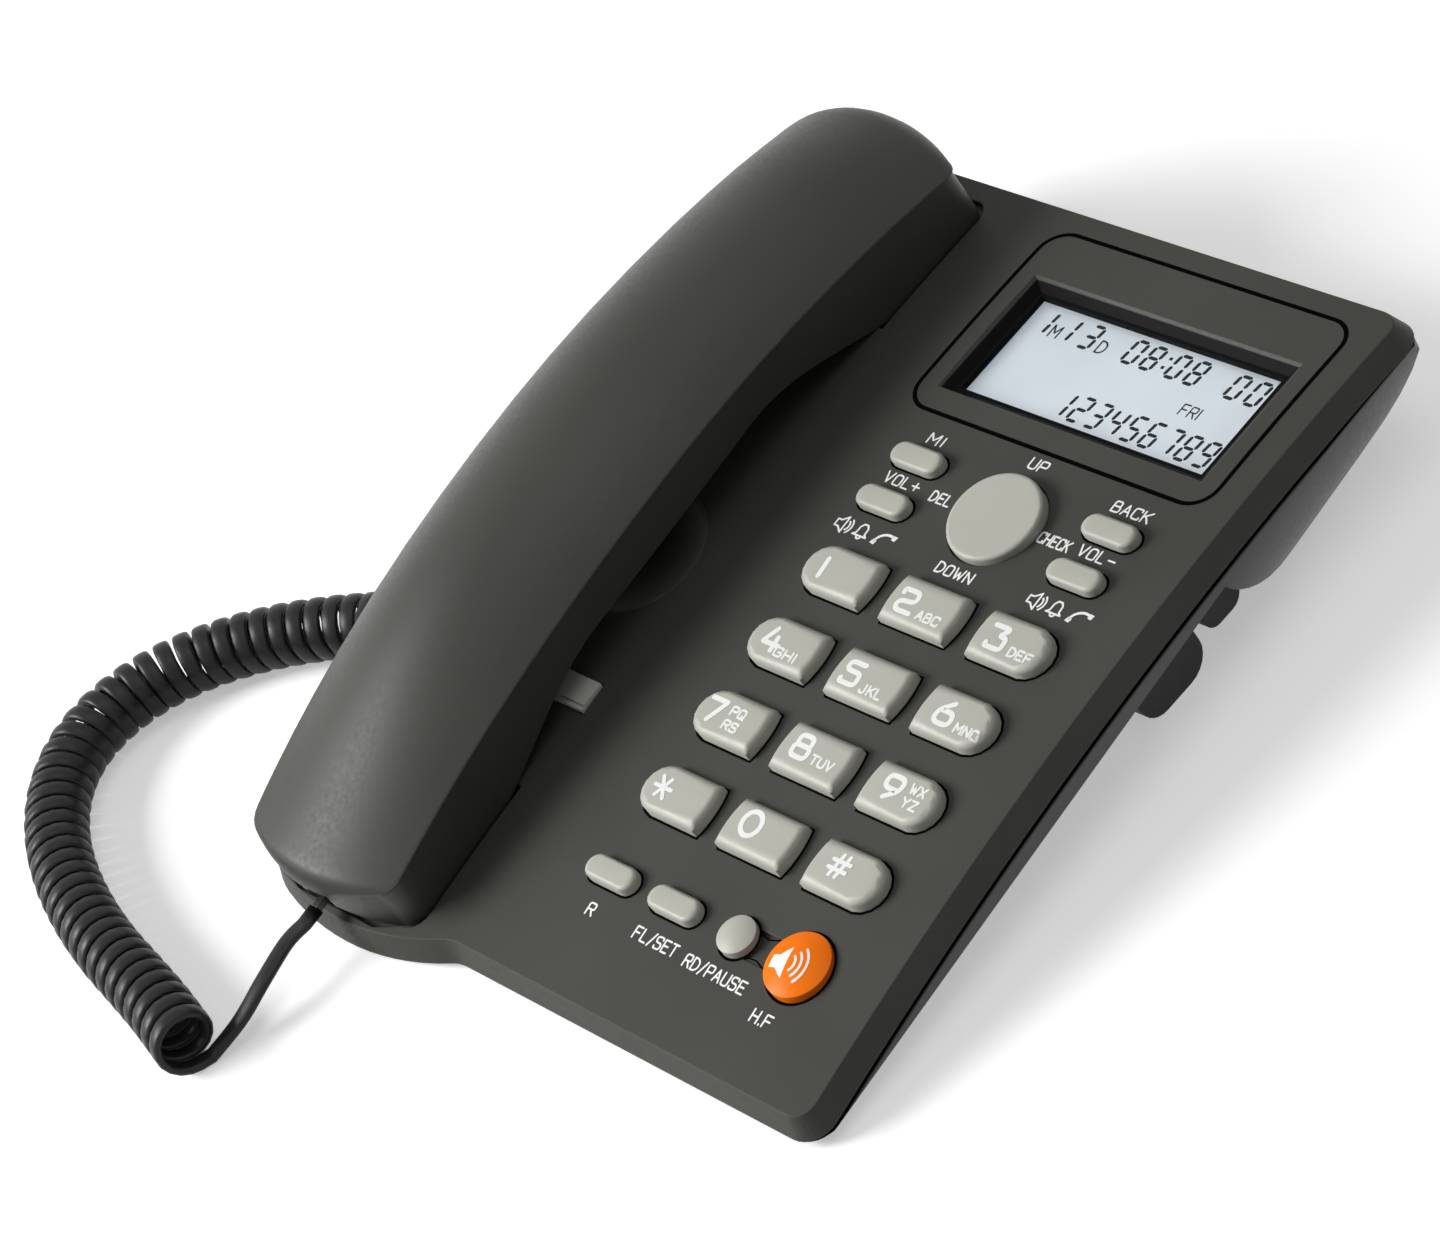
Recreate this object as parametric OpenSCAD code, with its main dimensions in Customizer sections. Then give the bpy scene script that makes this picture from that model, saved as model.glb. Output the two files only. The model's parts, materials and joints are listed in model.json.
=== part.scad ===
// Corded desk telephone: sloping base with keypad and display, arched handset and curly cord.
// The panel frame has its origin on the top surface at the middle key, x to the right, y to the
// back and z square to the panel. on_desk() tips that frame onto the desk, where z is up.

/* [Base] */
// Slope of the panel on the desk, in degrees
tilt = 8.5; // [7:0.1:10]
// Handset axis to the left wall
cradle_side = 33.5; // [33:0.1:36]
// Middle key column to the right wall
pad_side = 49.6; // [49:0.1:54]
// Middle key row to the straight front wall
base_front = 86.3; // [86:0.1:90]
// Middle key row to the back wall
base_back = 121.5; // [121:0.1:128]
// Radius of the base corners
corner_r = 7; // [5:0.5:9]
// Radius of the bulge in front of the handset
lobe_r = 73.8; // [70:0.2:78]
// Distance the bulge stands out of the front wall
lobe_reach = 7; // [6:0.1:9]
// Radius of the bulge's left corner
lobe_corner_r = 17; // [14:0.5:18]
// Radius of the hollow corner beside the bulge
lobe_fillet_r = 10; // [6:0.5:14]
// Radius of the arched top surface, front to back
crown_r = 755; // [700:5:900]
// Wall thickness of the housings
wall = 2; // [1.6:0.1:2.2]
// Height of the cover's side skirt
skirt_h = 5.6; // [5.2:0.1:6]
// Distance the skirt leans in towards the top
edge_lean = 2.2; // [1.6:0.1:2.4]
// Seam between cover and pan
seam = 0.4; // [0.2:0.1:0.6]
// Depth of the pan's right rim below the panel
rim_h = 11.2; // [11:0.1:12.5]
// Depth of the pan's left wall below the panel
left_rim_h = 18; // [17:0.5:20]
// Front end of the pan's deep rear belly
belly_y = 52; // [50:0.5:54]
// Length of the belly's front curve
belly_front = 25; // [23:0.5:27]
// Length of the belly's rear curve
belly_rear = 31; // [28:0.5:33]
// Distance the belly's sides curve in
belly_lean = 17.5; // [15:0.5:19]

/* [Feet] */
// Height of the rubber pads
pad_h = 2.5; // [2:0.1:3]
// Diameter of the rubber pads
pad_d = 11; // [8:0.5:14]
// Width of the side feet
foot_w = 11; // [9:0.5:12]
// Distance of the side feet in from the right wall
foot_inset = 10; // [9:0.5:12]

/* [Keys] */
// Column pitch of the number keys
key_pitch_x = 24.5; // [24:0.1:25]
// Row pitch of the number keys
key_pitch_y = 18.9; // [18:0.1:19.2]
// Width of a number key
key_w = 19.2; // [17:0.1:20]
// Depth of a number key
key_d = 11.2; // [10:0.1:12]
// Height of a number key above the panel
key_h = 3; // [2.4:0.1:3.6]
// Slope around the top of a number key
key_bevel = 1.2; // [0.8:0.1:1.6]
// Bulge of a number key's round outer end
key_end = 5; // [3:0.1:5]
// Width of a pill key
pill_w = 14.1; // [12:0.1:15]
// Depth of a pill key
pill_d = 5.7; // [5:0.1:6.4]
// Height of a pill key above the panel
pill_h = 2.5; // [2:0.1:3]
// Diameter of the small round key
dot_d = 8.8; // [8:0.1:9.6]
// Diameter of the speaker key
speaker_key_d = 14.8; // [13:0.1:16]
// Diameter of the navigation key
nav_d = 21.6; // [19:0.1:22]
// Height of the navigation key above the panel
nav_h = 2.3; // [1.8:0.1:2.8]
// Gap around every key in its opening
key_gap = 0.4; // [0.3:0.05:0.5]
// Travel of a key
key_travel = 1.2; // [1:0.1:1.3]

/* [Display] */
// Width of the display frame
bezel_w = 83.4; // [80:0.1:85]
// Depth of the display frame
bezel_d = 52.2; // [50:0.1:53]
// Corner radius of the display frame
bezel_r = 6; // [4:0.5:8]
// Width of the sloped recess at the surface
recess_w = 74.6; // [73:0.1:76]
// Depth of the sloped recess, front to back
recess_d = 34.1; // [33:0.1:36]
// Width of the visible window
view_w = 67.4; // [64:0.1:69]
// Depth of the visible window, front to back
view_d = 27.6; // [25:0.1:29]
// Distance from the surface down to the window
view_depth = 4; // [3.4:0.1:4.6]
// Distance of the window ahead of the frame's middle
view_ahead = 3.4; // [2:0.1:4]

/* [Handset] */
// Handset axis, to the left of the middle key column
handset_x = 88.5; // [88:0.1:90]
// Width of the handset in the middle
handset_w = 52; // [50:0.2:53]
// Front corners of the handset ahead of the middle key row
handset_front = 86; // [85:0.2:87]
// Rear corners of the handset behind the middle key row
handset_rear = 114; // [113:0.2:115]
// Bow of the handset's front end
bow_front = 5; // [4:0.1:5.4]
// Bow of the handset's rear end
bow_rear = 5.5; // [4:0.1:5.6]
// Plan corner radius of the handset
handset_corner = 5; // [4:0.5:7]
// Narrowing of each side towards the front
front_taper = 2.3; // [1:0.1:4]
// Sideways set of the mouthpiece end
front_set = 1.7; // [0:0.1:2]
// Narrowing of each side towards the rear
rear_taper = 1.2; // [0.5:0.1:2]
// Radius of the handset's arch
arch_r = 345; // [335:1:360]
// Height of the arch's parting line over the panel
arch_h = 20.4; // [20:0.1:22]
// Rise of the crowned back above the parting line
back_rise = 11.5; // [10:0.1:13]
// Rise of the crowned back near the front end
front_rise = 4.5; // [3:0.1:6]
// Underside of the mouthpiece below the panel
mouth_depth = 6.7; // [6:0.1:6.8]
// Underside of the earpiece below the panel
ear_depth = 10; // [9:0.1:11]
// Underside of the grip above the panel
grip_h = 9.5; // [9:0.1:10.5]
// Clearance around the handset in its wells
well_gap = 1; // [0.8:0.1:1.4]
// Clearance under the resting handset
seat_gap = 0.3; // [0.2:0.05:0.4]

/* [Hook and finger hollow] */
// Width of the hook tab
hook_w = 10.8; // [9:0.1:12]
// Depth of the hook tab, front to back
hook_d = 7; // [5:0.1:8]
// Height of the hook tab above the panel
hook_h = 1; // [0.6:0.1:1.4]
// Width of the hook's post under the grip
post_w = 5; // [4:0.1:6]
// Height of the hook's post above the panel
post_h = 5.4; // [4.5:0.1:5.6]
// Radius of the finger hollow's rim
scoop_r = 16.6; // [14:0.2:18]
// Depth of the finger hollow
scoop_h = 5.6; // [4.5:0.1:6]

/* [Cord] */
// Width of the flat cord
cord_w = 3; // [2.6:0.1:3.1]
// Thickness of the flat cord
cord_t = 1.8; // [1.6:0.1:2]
// Radius of the curls, to the middle of the cord
curl_r = 6.3; // [6:0.1:6.5]
// Number of curls
curls = 40.5; // [36.5:1:41.5]
// Width of the cord's plugs
plug_w = 7.6; // [7:0.1:8]
// Height of the cord's plugs
plug_h = 6.5; // [6:0.1:6.8]

/* [Hidden] */
$fn = 64;

// Margin by which a cut passes the faces that it opens
over = 1;
// Length of the blocks that fill the space outside a profile
far = 300;
// Lengths into which the skirt's long sides are cut
skirt_n = 14;
// Sides of the wide arch of the top surface
crown_fn = 1440;

// Plan of the base
base_x1 = pad_side;
base_x0 = -handset_x - cradle_side;
base_y0 = -base_front;
base_y1 = base_back;
lobe_c = [-handset_x + 0.5, base_y0 - lobe_reach + lobe_r];
lobe_corner_x = base_x0 + lobe_corner_r;
lobe_corner_y = lobe_c.y - sqrt(pow(lobe_r - lobe_corner_r, 2) - pow(lobe_corner_x - lobe_c.x, 2));
lobe_a0 = 180 + atan2(lobe_c.y - lobe_corner_y, lobe_c.x - lobe_corner_x);
lobe_fillet_y = base_y0 - lobe_fillet_r;
lobe_fillet_x = lobe_c.x + sqrt(pow(lobe_r + lobe_fillet_r, 2) - pow(lobe_fillet_y - lobe_c.y, 2));
lobe_a1 = 360 + atan2(lobe_fillet_y - lobe_c.y, lobe_fillet_x - lobe_c.x);
lobe_step = (lobe_a1 - lobe_a0) / 14;

// Heights of the base: the pan's underside is parallel to the desk
floor_y = base_y0 + 4.3;
lobe_lip_y = base_y0 + 8.3;
desk_x = -(base_x0 + base_x1) / 2;
desk_y = -(edge_y(base_y0 - lobe_reach, 0) + edge_y(base_y1, skirt_h)) / 2;
desk_z = pad_h + cos(tilt) * rim_h - sin(tilt) * floor_y;
side_gap = 0.4;
boat_lap = 6;

// Bulge of a number key's inner sides
key_side = 0.7;

// Places of the keys
pill_left = -28;
pill_right = 26.2;
pill_row_1 = 49.5;
pill_row_2 = 37.7;
pill_row_3 = -57.8;
set_x = -9.2;
dot_x = 8.8;
speaker_x = 26.1;
nav_x = -0.5;
nav_y = 43.3;
neck_w = 6.8;
neck_depth = 0.7;

// Stack under the keys
flange = 1.2;
flange_t = 1;
flange_gap = 0.1;
stem_d = 4;
mat_t = 1;
board_t = 1.6;
stem_z = -6.3;
mat_z = stem_z - key_travel - 0.1;
board_z = mat_z - mat_t;
board_x = 36;
board_y0 = -67;
board_y1 = 58;
nav_room = 1.2;
nav_ball_r = 2;
nav_ball_gap = 0.15;
nav_ball_z = mat_z + nav_ball_r + nav_ball_gap;

// Display
bezel_x = -1.6;
bezel_y = 87.7;
bezel_gap = 0.3;
bezel_lip = 1.5;
bevel_depth = 2.5;
bevel_inset = 0.8;
window_lap = 1.3;
window_t = 1.2;
lcd_t = 2.4;
bezel_t = view_depth + window_t + lcd_t;
bezel_over = 5;

// Handset
handset_c = -handset_x;
wide_y = 14;
arch_y = 12;
shell_t = 1.8;
body_inset = 0.5;
handset_seam = 0.3;
mouth_bend = [14 - handset_front, -14];
ear_bend = [handset_rear - 16, 40];
front_foot_y = -handset_front - 1.5;
rear_foot_y = handset_rear - 1.5;
rows = [0, 0.15, 0.6, 1.3, 2.2, 3.4, 5, 8, 13, 20, 28, 38, 50, 62, 74, 86];
row_n = 2 * len(rows);
cross_n = 16;

// Wells in the cover
well_t = 1.6;
mouth_well = [front_foot_y - 1.9, 36.6 - handset_front];
ear_well = [handset_rear - 38, rear_foot_y + 1.7];

// Hook and finger hollow
hook_c = [-67.1, -26.5];
post_x = -79.5;
tab_groove = 0.6;
hook_gap = 0.4;
hook_lift = 3.5;
hook_seat = crown_z(abs(hook_c.y) + hook_d / 2 + flange) - wall - hook_lift - 0.2;
scoop_c = [-77.5, 8];
scoop_ball_r = (scoop_r * scoop_r + scoop_h * scoop_h) / (2 * scoop_h);

// Rubber pads, the rear ones on the belly's flat underside
pad_row = belly_y + belly_front + boat_lap + 0.5;
pad_at = [[base_x1 - 15.6, base_y0 + 18.3], [base_x0 + 22, base_y0 + 14.3], [base_x1 - 23.6, pad_row],
    [base_x0 + 24, pad_row]];

// Screws that hold the pan to the cover
screw_at = [[base_x1 - 7.6, base_y0 + 12.3], [-47, base_y0 + 12.3], [base_x1 - 6.7, 52],
    [-52.4, base_y1 - 17.5], [base_x0 + 9, -8], [base_x0 + 21, 66]];
screw_split = 5;
screw_seat = 1.6;
screw_d = 2.9;
screw_head_d = 5.8;
screw_head_h = 1.9;
screw_gap = 0.1;
cover_boss_d = 6.6;
pan_boss_d = 9;
board_posts = [[32, -60], [-32, -60], [32, 54], [-32, 54], [-68, -33]];
board_post_d = 6;

// Sockets and plugs
plug_l = 11.5;
plug_gap = 0.15;
plug_stub = 6;
socket_t = 1.7;
socket_l = 13;
slot_gap = 0.5;
handset_plug_at = [handset_c - 1.5, -handset_front - 0.5, -1];
base_plug_y = -30;
base_plug_z = -11;
base_plug_x = base_x0 + 3.5;
line_x = -72;
line_y = 109;
line_z = -21.8;
line_w = 9.7;
line_h = 6.9;

// Loudspeaker in the belly, on a ring that stands clear of the curved floor
loud_at = [-4, 84];
loud_seat = 9;
loud_rim = 2.5;
loud_d = 40;
loud_h = 11;
grille_step = 5;
grille_d = 2.4;

// Cord: places on the desk, chosen by hand, for the stretches at either end and the coil's axis
cord_square = 4;
curl_stub = 3;
curl_steps = 8;
curl_start = 90;
coil_z = curl_r + cord_t / 2 + 0.2;
lead_points = [[-55, -116, 9.4], [-53.6, -125, 8.2], [-53.8, -134, 5]];
coil_points = [[-58, -145], [-71.7, -141.2], [-83.9, -138.4], [-96.2, -135.6], [-109.1, -131.7],
    [-122.2, -126.3], [-134.3, -119.1], [-144, -110], [-149.9, -99.3], [-151.2, -87.5], [-147.8, -75.4],
    [-140.2, -64], [-129.5, -53.9], [-117.6, -45.8], [-107, -40]];
tail_points = [[-103.4, -44.2, 13.3], [-98, -44.6, 11.6]];
spline_steps = 5;
section = [[1, 0], [0.55, 1], [-0.55, 1], [-1, 0], [-0.55, -1], [0.55, -1]];

// Colours
body_grey = [0.22, 0.22, 0.21];
pan_grey = [0.27, 0.27, 0.26];
key_grey = [0.7, 0.7, 0.67];
cord_black = [0.1, 0.1, 0.1];

// Point on an arc, as a list of points
function arc(c, r, a0, a1, n) = [for (i = [0:n]) let (a = a0 + (a1 - a0) * i / n) c + r * [cos(a), sin(a)]];
// Height of the arched top surface
function crown_z(y) = sqrt(crown_r * crown_r - y * y) - crown_r;
// Height of the pan's underside
function pan_z(y) = -rim_h - tan(tilt) * (y - floor_y);
// Front end, rear end, end radius and height over the desk of the two feet on a side
foot_spans = [[26, 45.5, 6, 0], [48.5, 59.5, 3.5, 5.5]];
// Height of the desk
function desk_top(y) = pan_z(y) - pad_h / cos(tilt);
// Place along the desk of a point of the base, drop below the top surface
function edge_y(y, drop) = y * cos(tilt) - (crown_z(y) - drop) * sin(tilt);
// Panel point to desk point
function to_desk(p) = [p.x + desk_x, p.y * cos(tilt) - p.z * sin(tilt) + desk_y,
    p.y * sin(tilt) + p.z * cos(tilt) + desk_z];
// Curve from a to d with the handles b and c, as n + 1 points
function curve(a, b, c, d, n) = [for (i = [0:n]) let (t = i / n, u = 1 - t)
    u * u * u * a + 3 * u * u * t * b + 3 * u * t * t * c + t * t * t * d];
// Open run of points moved by e to its left, square to the run
function drawn_in(p, e) = [for (i = [0:len(p) - 1]) let (m = len(p) - 1,
    a = unit(p[max(i, 1)] - p[max(i, 1) - 1]), b = unit(p[min(i, m - 1) + 1] - p[min(i, m - 1)]),
    n = [-a.y - b.y, a.x + b.x]) p[i] + n * e * 2 / (n * n)];
// Smooth step from 0 to 1
function ease(t) = t <= 0 ? 0 : t >= 1 ? 1 : t * t * (3 - 2 * t);
// Vector of length one
function unit(v) = v / norm(v);
// Top plane of a screw's pan boss
function split_z(y) = crown_z(y) - screw_split;

// Points inside a straight run along y, which is cut into n lengths
function along(x, y0, y1, n) = n < 2 ? [] : [for (i = [1:n - 1]) [x, y0 + (y1 - y0) * i / n]];
// Outline of the base, drawn in by e, with its long sides cut into n lengths
function base_outline(e, n = 1) = concat(
    arc([base_x1 - corner_r, base_y0 + corner_r], corner_r - e, 270, 360, 8),
    along(base_x1 - e, base_y0 + corner_r, base_y1 - corner_r, n),
    arc([base_x1 - corner_r, base_y1 - corner_r], corner_r - e, 0, 90, 8),
    arc([base_x0 + corner_r, base_y1 - corner_r], corner_r - e, 90, 180, 8),
    along(base_x0 + e, base_y1 - corner_r, lobe_corner_y, n),
    arc([lobe_corner_x, lobe_corner_y], lobe_corner_r - e, 180, lobe_a0, 10),
    arc(lobe_c, lobe_r - e, lobe_a0 + lobe_step, lobe_a1 - lobe_step, 12),
    arc([lobe_fillet_x, lobe_fillet_y], lobe_fillet_r + e, lobe_a1 - 180, 90, 6));
// Points of the base outline at a fixed drop below the top surface
function skirt_ring(e, drop) = [for (p = base_outline(e, skirt_n)) [p.x, p.y, crown_z(p.y) - drop]];
function flat_ring(e, z) = [for (p = base_outline(e, skirt_n)) [p.x, p.y, z]];

// Outline with bulged ends: w wide, d deep, bulges l and r
function bulge_side(w, d, b) = let (q = (d * d / 4 + b * b) / (2 * b), a = asin(min(1, d / 2 / q)))
    arc([w / 2 - q, 0], q, -a, a, 8);
function key_outline(w, d, l, r) = concat(bulge_side(w, d, r), [for (p = bulge_side(w, d, l)) -p]);

// Rectangle with round corners
function round_box(w, d, r) = concat(
    arc([w / 2 - r, d / 2 - r], r, 0, 90, 6), arc([r - w / 2, d / 2 - r], r, 90, 180, 6),
    arc([r - w / 2, r - d / 2], r, 180, 270, 6), arc([w / 2 - r, r - d / 2], r, 270, 360, 6));

// Outline of the display frame, grown by e
function bezel_outline(e) = round_box(bezel_w + 2 * e, bezel_d + 2 * e, bezel_r + e);

// Handset: parting line, plan half width, ends' bow and rise of the back
function arch_z(y) = arch_h - arch_r + sqrt(arch_r * arch_r - pow(y - arch_y, 2));
function half_w(y) = handset_w / 2 - (y < wide_y ? front_taper : rear_taper) * pow((y - wide_y) / 100, 2);
function axis_x_at(y) = handset_c - front_set * ease((wide_y - y) / 100);
function corner_in(d, c) = d < c ? c - sqrt(c * c - pow(c - d, 2)) : 0;
function bow_at(d, b) = d < 35 ? b * pow(1 - d / 35, 2) : 0;
function end_ramp(d, r) = d < r ? sqrt(1 - pow(1 - d / r, 2)) : 1;
function rise(y, df, dr) = (front_rise + (back_rise - front_rise) * ease(df / 75 + 0.08))
    * (0.8 + 0.2 * ease(dr / 24)) * end_ramp(df, 2.2) * end_ramp(dr, 5);
function rise_in(y, q, e) = max(0, rise(y, q[1], q[2]) - e * end_ramp(q[1], 6));
// Row i of the handset as [y, distance to the front end, distance to the rear end], drawn in by e
function row_y(i, e) = let (y0 = -handset_front + e, y1 = handset_rear - e, m = (y1 - y0) / 2,
    k = i < len(rows) ? rows[i] : rows[row_n - 1 - i], d = k * m / (rows[len(rows) - 1] + 6))
    i < len(rows) ? [y0 + d, d, y1 - y0 - d] : [y1 - d, y1 - y0 - d, d];
function row_half(q, e) = half_w(q[0]) - e - corner_in(min(q[1], q[2]), handset_corner);
function row_bow(q) = bow_at(q[2], bow_rear) - bow_at(q[1], bow_front);
// Point of the crowned back, s across from -1 to 1
function back_point(q, s, e) = let (y = q[0] + row_bow(q) * (1 - s * s))
    [axis_x_at(q[0]) + s * row_half(q, e), y, arch_z(y) + (1 - s * s) * rise_in(y, q, e)];
function back_skin(e) = [for (i = [0:row_n - 1]) let (q = row_y(i, e)) for (j = [0:cross_n])
    back_point(q, 2 * j / cross_n - 1, e)];
// Plan outline of the handset, drawn in by e
function end_point(q, s, e) = [axis_x_at(q[0]) + s * row_half(q, e), q[0] + row_bow(q) * (1 - s * s)];
function handset_outline(e) = let (q0 = row_y(0, e), q1 = row_y(row_n - 1, e)) concat(
    [for (i = [1:row_n - 2]) let (q = row_y(i, e)) end_point(q, 1, e)],
    [for (j = [0:10]) end_point(q1, 1 - j / 5, e)],
    [for (i = [row_n - 2:-1:1]) let (q = row_y(i, e)) end_point(q, -1, e)],
    [for (j = [0:10]) end_point(q0, j / 5 - 1, e)]);
// Underside of the handset: two cups and the raised grip between them
function under_z(y) = y < 0
    ? -mouth_depth + (grip_h + mouth_depth) * ease((y - mouth_bend[0]) / (mouth_bend[1] - mouth_bend[0]))
    : -ear_depth + (grip_h + ear_depth) * ease((y - ear_bend[0]) / (ear_bend[1] - ear_bend[0]));
// Side view of the handset body, drawn in by e, with its top at the parting line raised by up
function body_profile(e, up) = let (y0 = front_foot_y + e, y1 = rear_foot_y - e) concat(
    [[y0 - 0.8, e - mouth_depth + 2], [y0 + 1.4, e - mouth_depth]],
    [for (i = [0:12]) let (y = mouth_bend[0] + i / 12 * (mouth_bend[1] - mouth_bend[0])) [y, under_z(y) + e]],
    [for (i = [0:12]) let (y = ear_bend[1] + i / 12 * (ear_bend[0] - ear_bend[1])) [y, under_z(y) + e]],
    [[y1 - 2, e - ear_depth], [y1 + 0.6, e - ear_depth + 2]],
    [for (i = [0:24]) let (y = handset_rear + 7 - e - i / 24 * (handset_front + handset_rear + 13.6 - 2 * e))
        [y, arch_z(y) + up]]);

// Cord: spline through points, its running length, the coil's axis and the helix round it
function spline(p, i, t) = let (a = p[max(i - 1, 0)], b = p[i], c = p[i + 1], d = p[min(i + 2, len(p) - 1)])
    0.5 * (2 * b + (c - a) * t + (2 * a - 5 * b + 4 * c - d) * t * t + (3 * b - a - 3 * c + d) * t * t * t);
function spline_run(p) = [for (i = [0:len(p) - 2]) for (k = [0:spline_steps - 1])
    spline(p, i, k / spline_steps), p[len(p) - 1]];
function lengths(p, i = 1, s = [0]) = i == len(p) ? s
    : lengths(p, i + 1, concat(s, [s[i - 1] + norm(p[i] - p[i - 1])]));
axis_run = spline_run(coil_points);
axis_len = lengths(axis_run);
axis_total = axis_len[len(axis_len) - 1];
axis_x = [for (i = [0:len(axis_run) - 1]) [axis_len[i], axis_run[i].x]];
axis_y = [for (i = [0:len(axis_run) - 1]) [axis_len[i], axis_run[i].y]];
function axis_at(s) = [lookup(s, axis_x), lookup(s, axis_y)];
function axis_dir(s) = unit(axis_at(min(s + 2, axis_total)) - axis_at(max(s - 2, 0)));
curl_n = curls * curl_steps;
function curl_out(i) = let (a = axis_dir(axis_total * i / curl_n), f = curl_start + i * 360 / curl_steps)
    [a.y * cos(f), -a.x * cos(f), -sin(f)];
function curl_at(i) = let (p = axis_at(axis_total * i / curl_n)) [p.x, p.y, coil_z] + curl_r * curl_out(i);
function curl_dir(i) = let (a = axis_dir(axis_total * i / curl_n), f = curl_start + i * 360 / curl_steps)
    unit([-a.y * sin(f), a.x * sin(f), -cos(f)] + [a.x, a.y, 0] * axis_total / curls / (2 * PI * curl_r));
// Ring of the cord round c, running along t, with its flat side facing n
function cord_ring(c, t, n) = let (m = unit(n - (n * t) * t), b = cross(t, m))
    [for (q = section) c + b * q[0] * cord_w / 2 + m * q[1] * cord_t / 2];
function run_dir(p, i) = unit(p[min(i + 1, len(p) - 1)] - p[max(i - 1, 0)]);
// Rings along a run of points, whose flat side turns from n0 to n1
function run_rings(p, t0, t1, n0, n1) = [for (i = [0:len(p) - 1]) let (k = i / (len(p) - 1))
    cord_ring(p[i], i == 0 ? t0 : i == len(p) - 1 ? t1 : run_dir(p, i), n0 * (1 - k) + n1 * k)];

panel_up = [0, -sin(tilt), cos(tilt)];
panel_back = [0, cos(tilt), sin(tilt)];
lead_end = to_desk(handset_plug_at - [0, plug_stub, 0]);
tail_end = to_desk([base_plug_x - plug_stub, base_plug_y, base_plug_z]);
curl_first = curl_at(0) - curl_dir(0) * curl_stub;
curl_last = curl_at(curl_n) + curl_dir(curl_n) * curl_stub;
lead_route = concat([lead_end - panel_back * cord_square], lead_points, [curl_first]);
lead_run = concat([lead_end], spline_run(lead_route));
tail_route = concat([curl_last], tail_points, [tail_end - [cord_square, 0, 0]]);
tail_run = concat(spline_run(tail_route), [tail_end]);
curl_rings = concat([cord_ring(curl_first, curl_dir(0), -curl_out(0))],
    [for (i = [0:curl_n]) cord_ring(curl_at(i), curl_dir(i), -curl_out(i))],
    [cord_ring(curl_last, curl_dir(curl_n), -curl_out(curl_n))]);

// Least distance between the points of one curl and those of the next
function least_gap(r) = min([for (i = [1:len(r) - curl_steps - 3]) for (k = [curl_steps - 1:curl_steps + 1])
    for (a = r[i]) for (b = r[i + k]) norm(a - b)]);

module on_desk() {
    translate([desk_x, desk_y, desk_z]) rotate([tilt, 0, 0]) children();
}

// Frame on the top surface, turned square to it
module at_crown(x, y) {
    translate([x, y, crown_z(y)]) rotate([-asin(y / crown_r), 0, 0]) children();
}

// Solid below the arched top surface, lowered by drop
module crown(drop) {
    translate([-far / 2, 0, -crown_r]) rotate([0, 90, 0])
        cylinder(h = far, r = crown_r - drop, $fn = crown_fn);
}

// Upright prism on an outline
module prism(points, z0, z1) {
    translate([0, 0, z0]) linear_extrude(z1 - z0) polygon(points);
}

// Prism along x on a side view of [y, z] points
module side_prism(points, x0, x1) {
    translate([x0, 0, 0]) rotate([90, 0, 90]) linear_extrude(x1 - x0) polygon(points);
}

// Prism along y on a front view of [x, z] points
module front_prism(points, y0, y1) {
    translate([0, y1, 0]) rotate([90, 0, 0]) linear_extrude(y1 - y0) polygon(points);
}

module box(x0, x1, y0, y1, z0, z1) {
    translate([x0, y0, z0]) cube([x1 - x0, y1 - y0, z1 - z0]);
}

// Closed skin over rings of equal length, each face split in two
module skin(rings) {
    n = len(rings[0]);
    last = len(rings) - 1;
    points = [for (r = rings) for (p = r) p];
    sides = [for (i = [0:last - 1]) for (j = [0:n - 1]) let (a = i * n + j, b = i * n + (j + 1) % n)
        each [[a, b + n, b], [a, a + n, b + n]]];
    caps = [for (j = [1:n - 2]) each [[0, j, j + 1], [last * n, last * n + j + 1, last * n + j]]];
    polyhedron(points, concat(sides, caps), convexity = 10);
}

// Block inside the base's leaning skirt, drawn in by e
module skirt_block(e) {
    low = e - edge_lean * over / skirt_h;
    high = e + edge_lean * (1 + over / skirt_h);
    rings = [flat_ring(low, -far / 10), skirt_ring(low, skirt_h + over), skirt_ring(high, -over),
        flat_ring(high, 2 * over)];
    n = len(rings[0]);
    mid = [scoop_c.x, scoop_c.y];
    points = concat([for (r = rings) each r], [[mid.x, mid.y, -far / 10], [mid.x, mid.y, 2 * over]]);
    sides = [for (i = [0:2]) for (j = [0:n - 1]) let (a = i * n + j, b = i * n + (j + 1) % n)
        each [[a, b + n, b], [a, a + n, b + n]]];
    caps = [for (j = [0:n - 1]) let (k = (j + 1) % n)
        each [[4 * n, j, k], [4 * n + 1, 3 * n + k, 3 * n + j]]];
    polyhedron(points, concat(sides, caps), convexity = 4);
}

function lift(outline, z) = [for (p = outline) [p.x, p.y, z]];

// Key cap with a sloped edge, its flange under the cover and its stem
module cap_key(x, y, w, d, l, r, h, bevel) {
    top = crown_z(y) + h;
    seat = crown_z(abs(y) + d / 2 + flange) - wall - flange_gap;
    foot = seat - flange_t;
    on_desk() translate([x, y, 0]) {
        skin([lift(key_outline(w, d, l, r), seat - flange_t / 2), lift(key_outline(w, d, l, r), top - bevel),
            lift(key_outline(w - 1.2 * bevel, d - 1.2 * bevel, l * 0.9, r * 0.9), top - bevel * 0.4),
            lift(key_outline(w - 2.4 * bevel, d - 2.4 * bevel, l * 0.75, r * 0.75), top)]);
        prism(key_outline(w + 2 * flange, d + 2 * flange, l, r), foot, seat);
        translate([0, 0, stem_z]) cylinder(h = foot + over / 2 - stem_z, d = stem_d, $fn = 32);
    }
}

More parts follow.
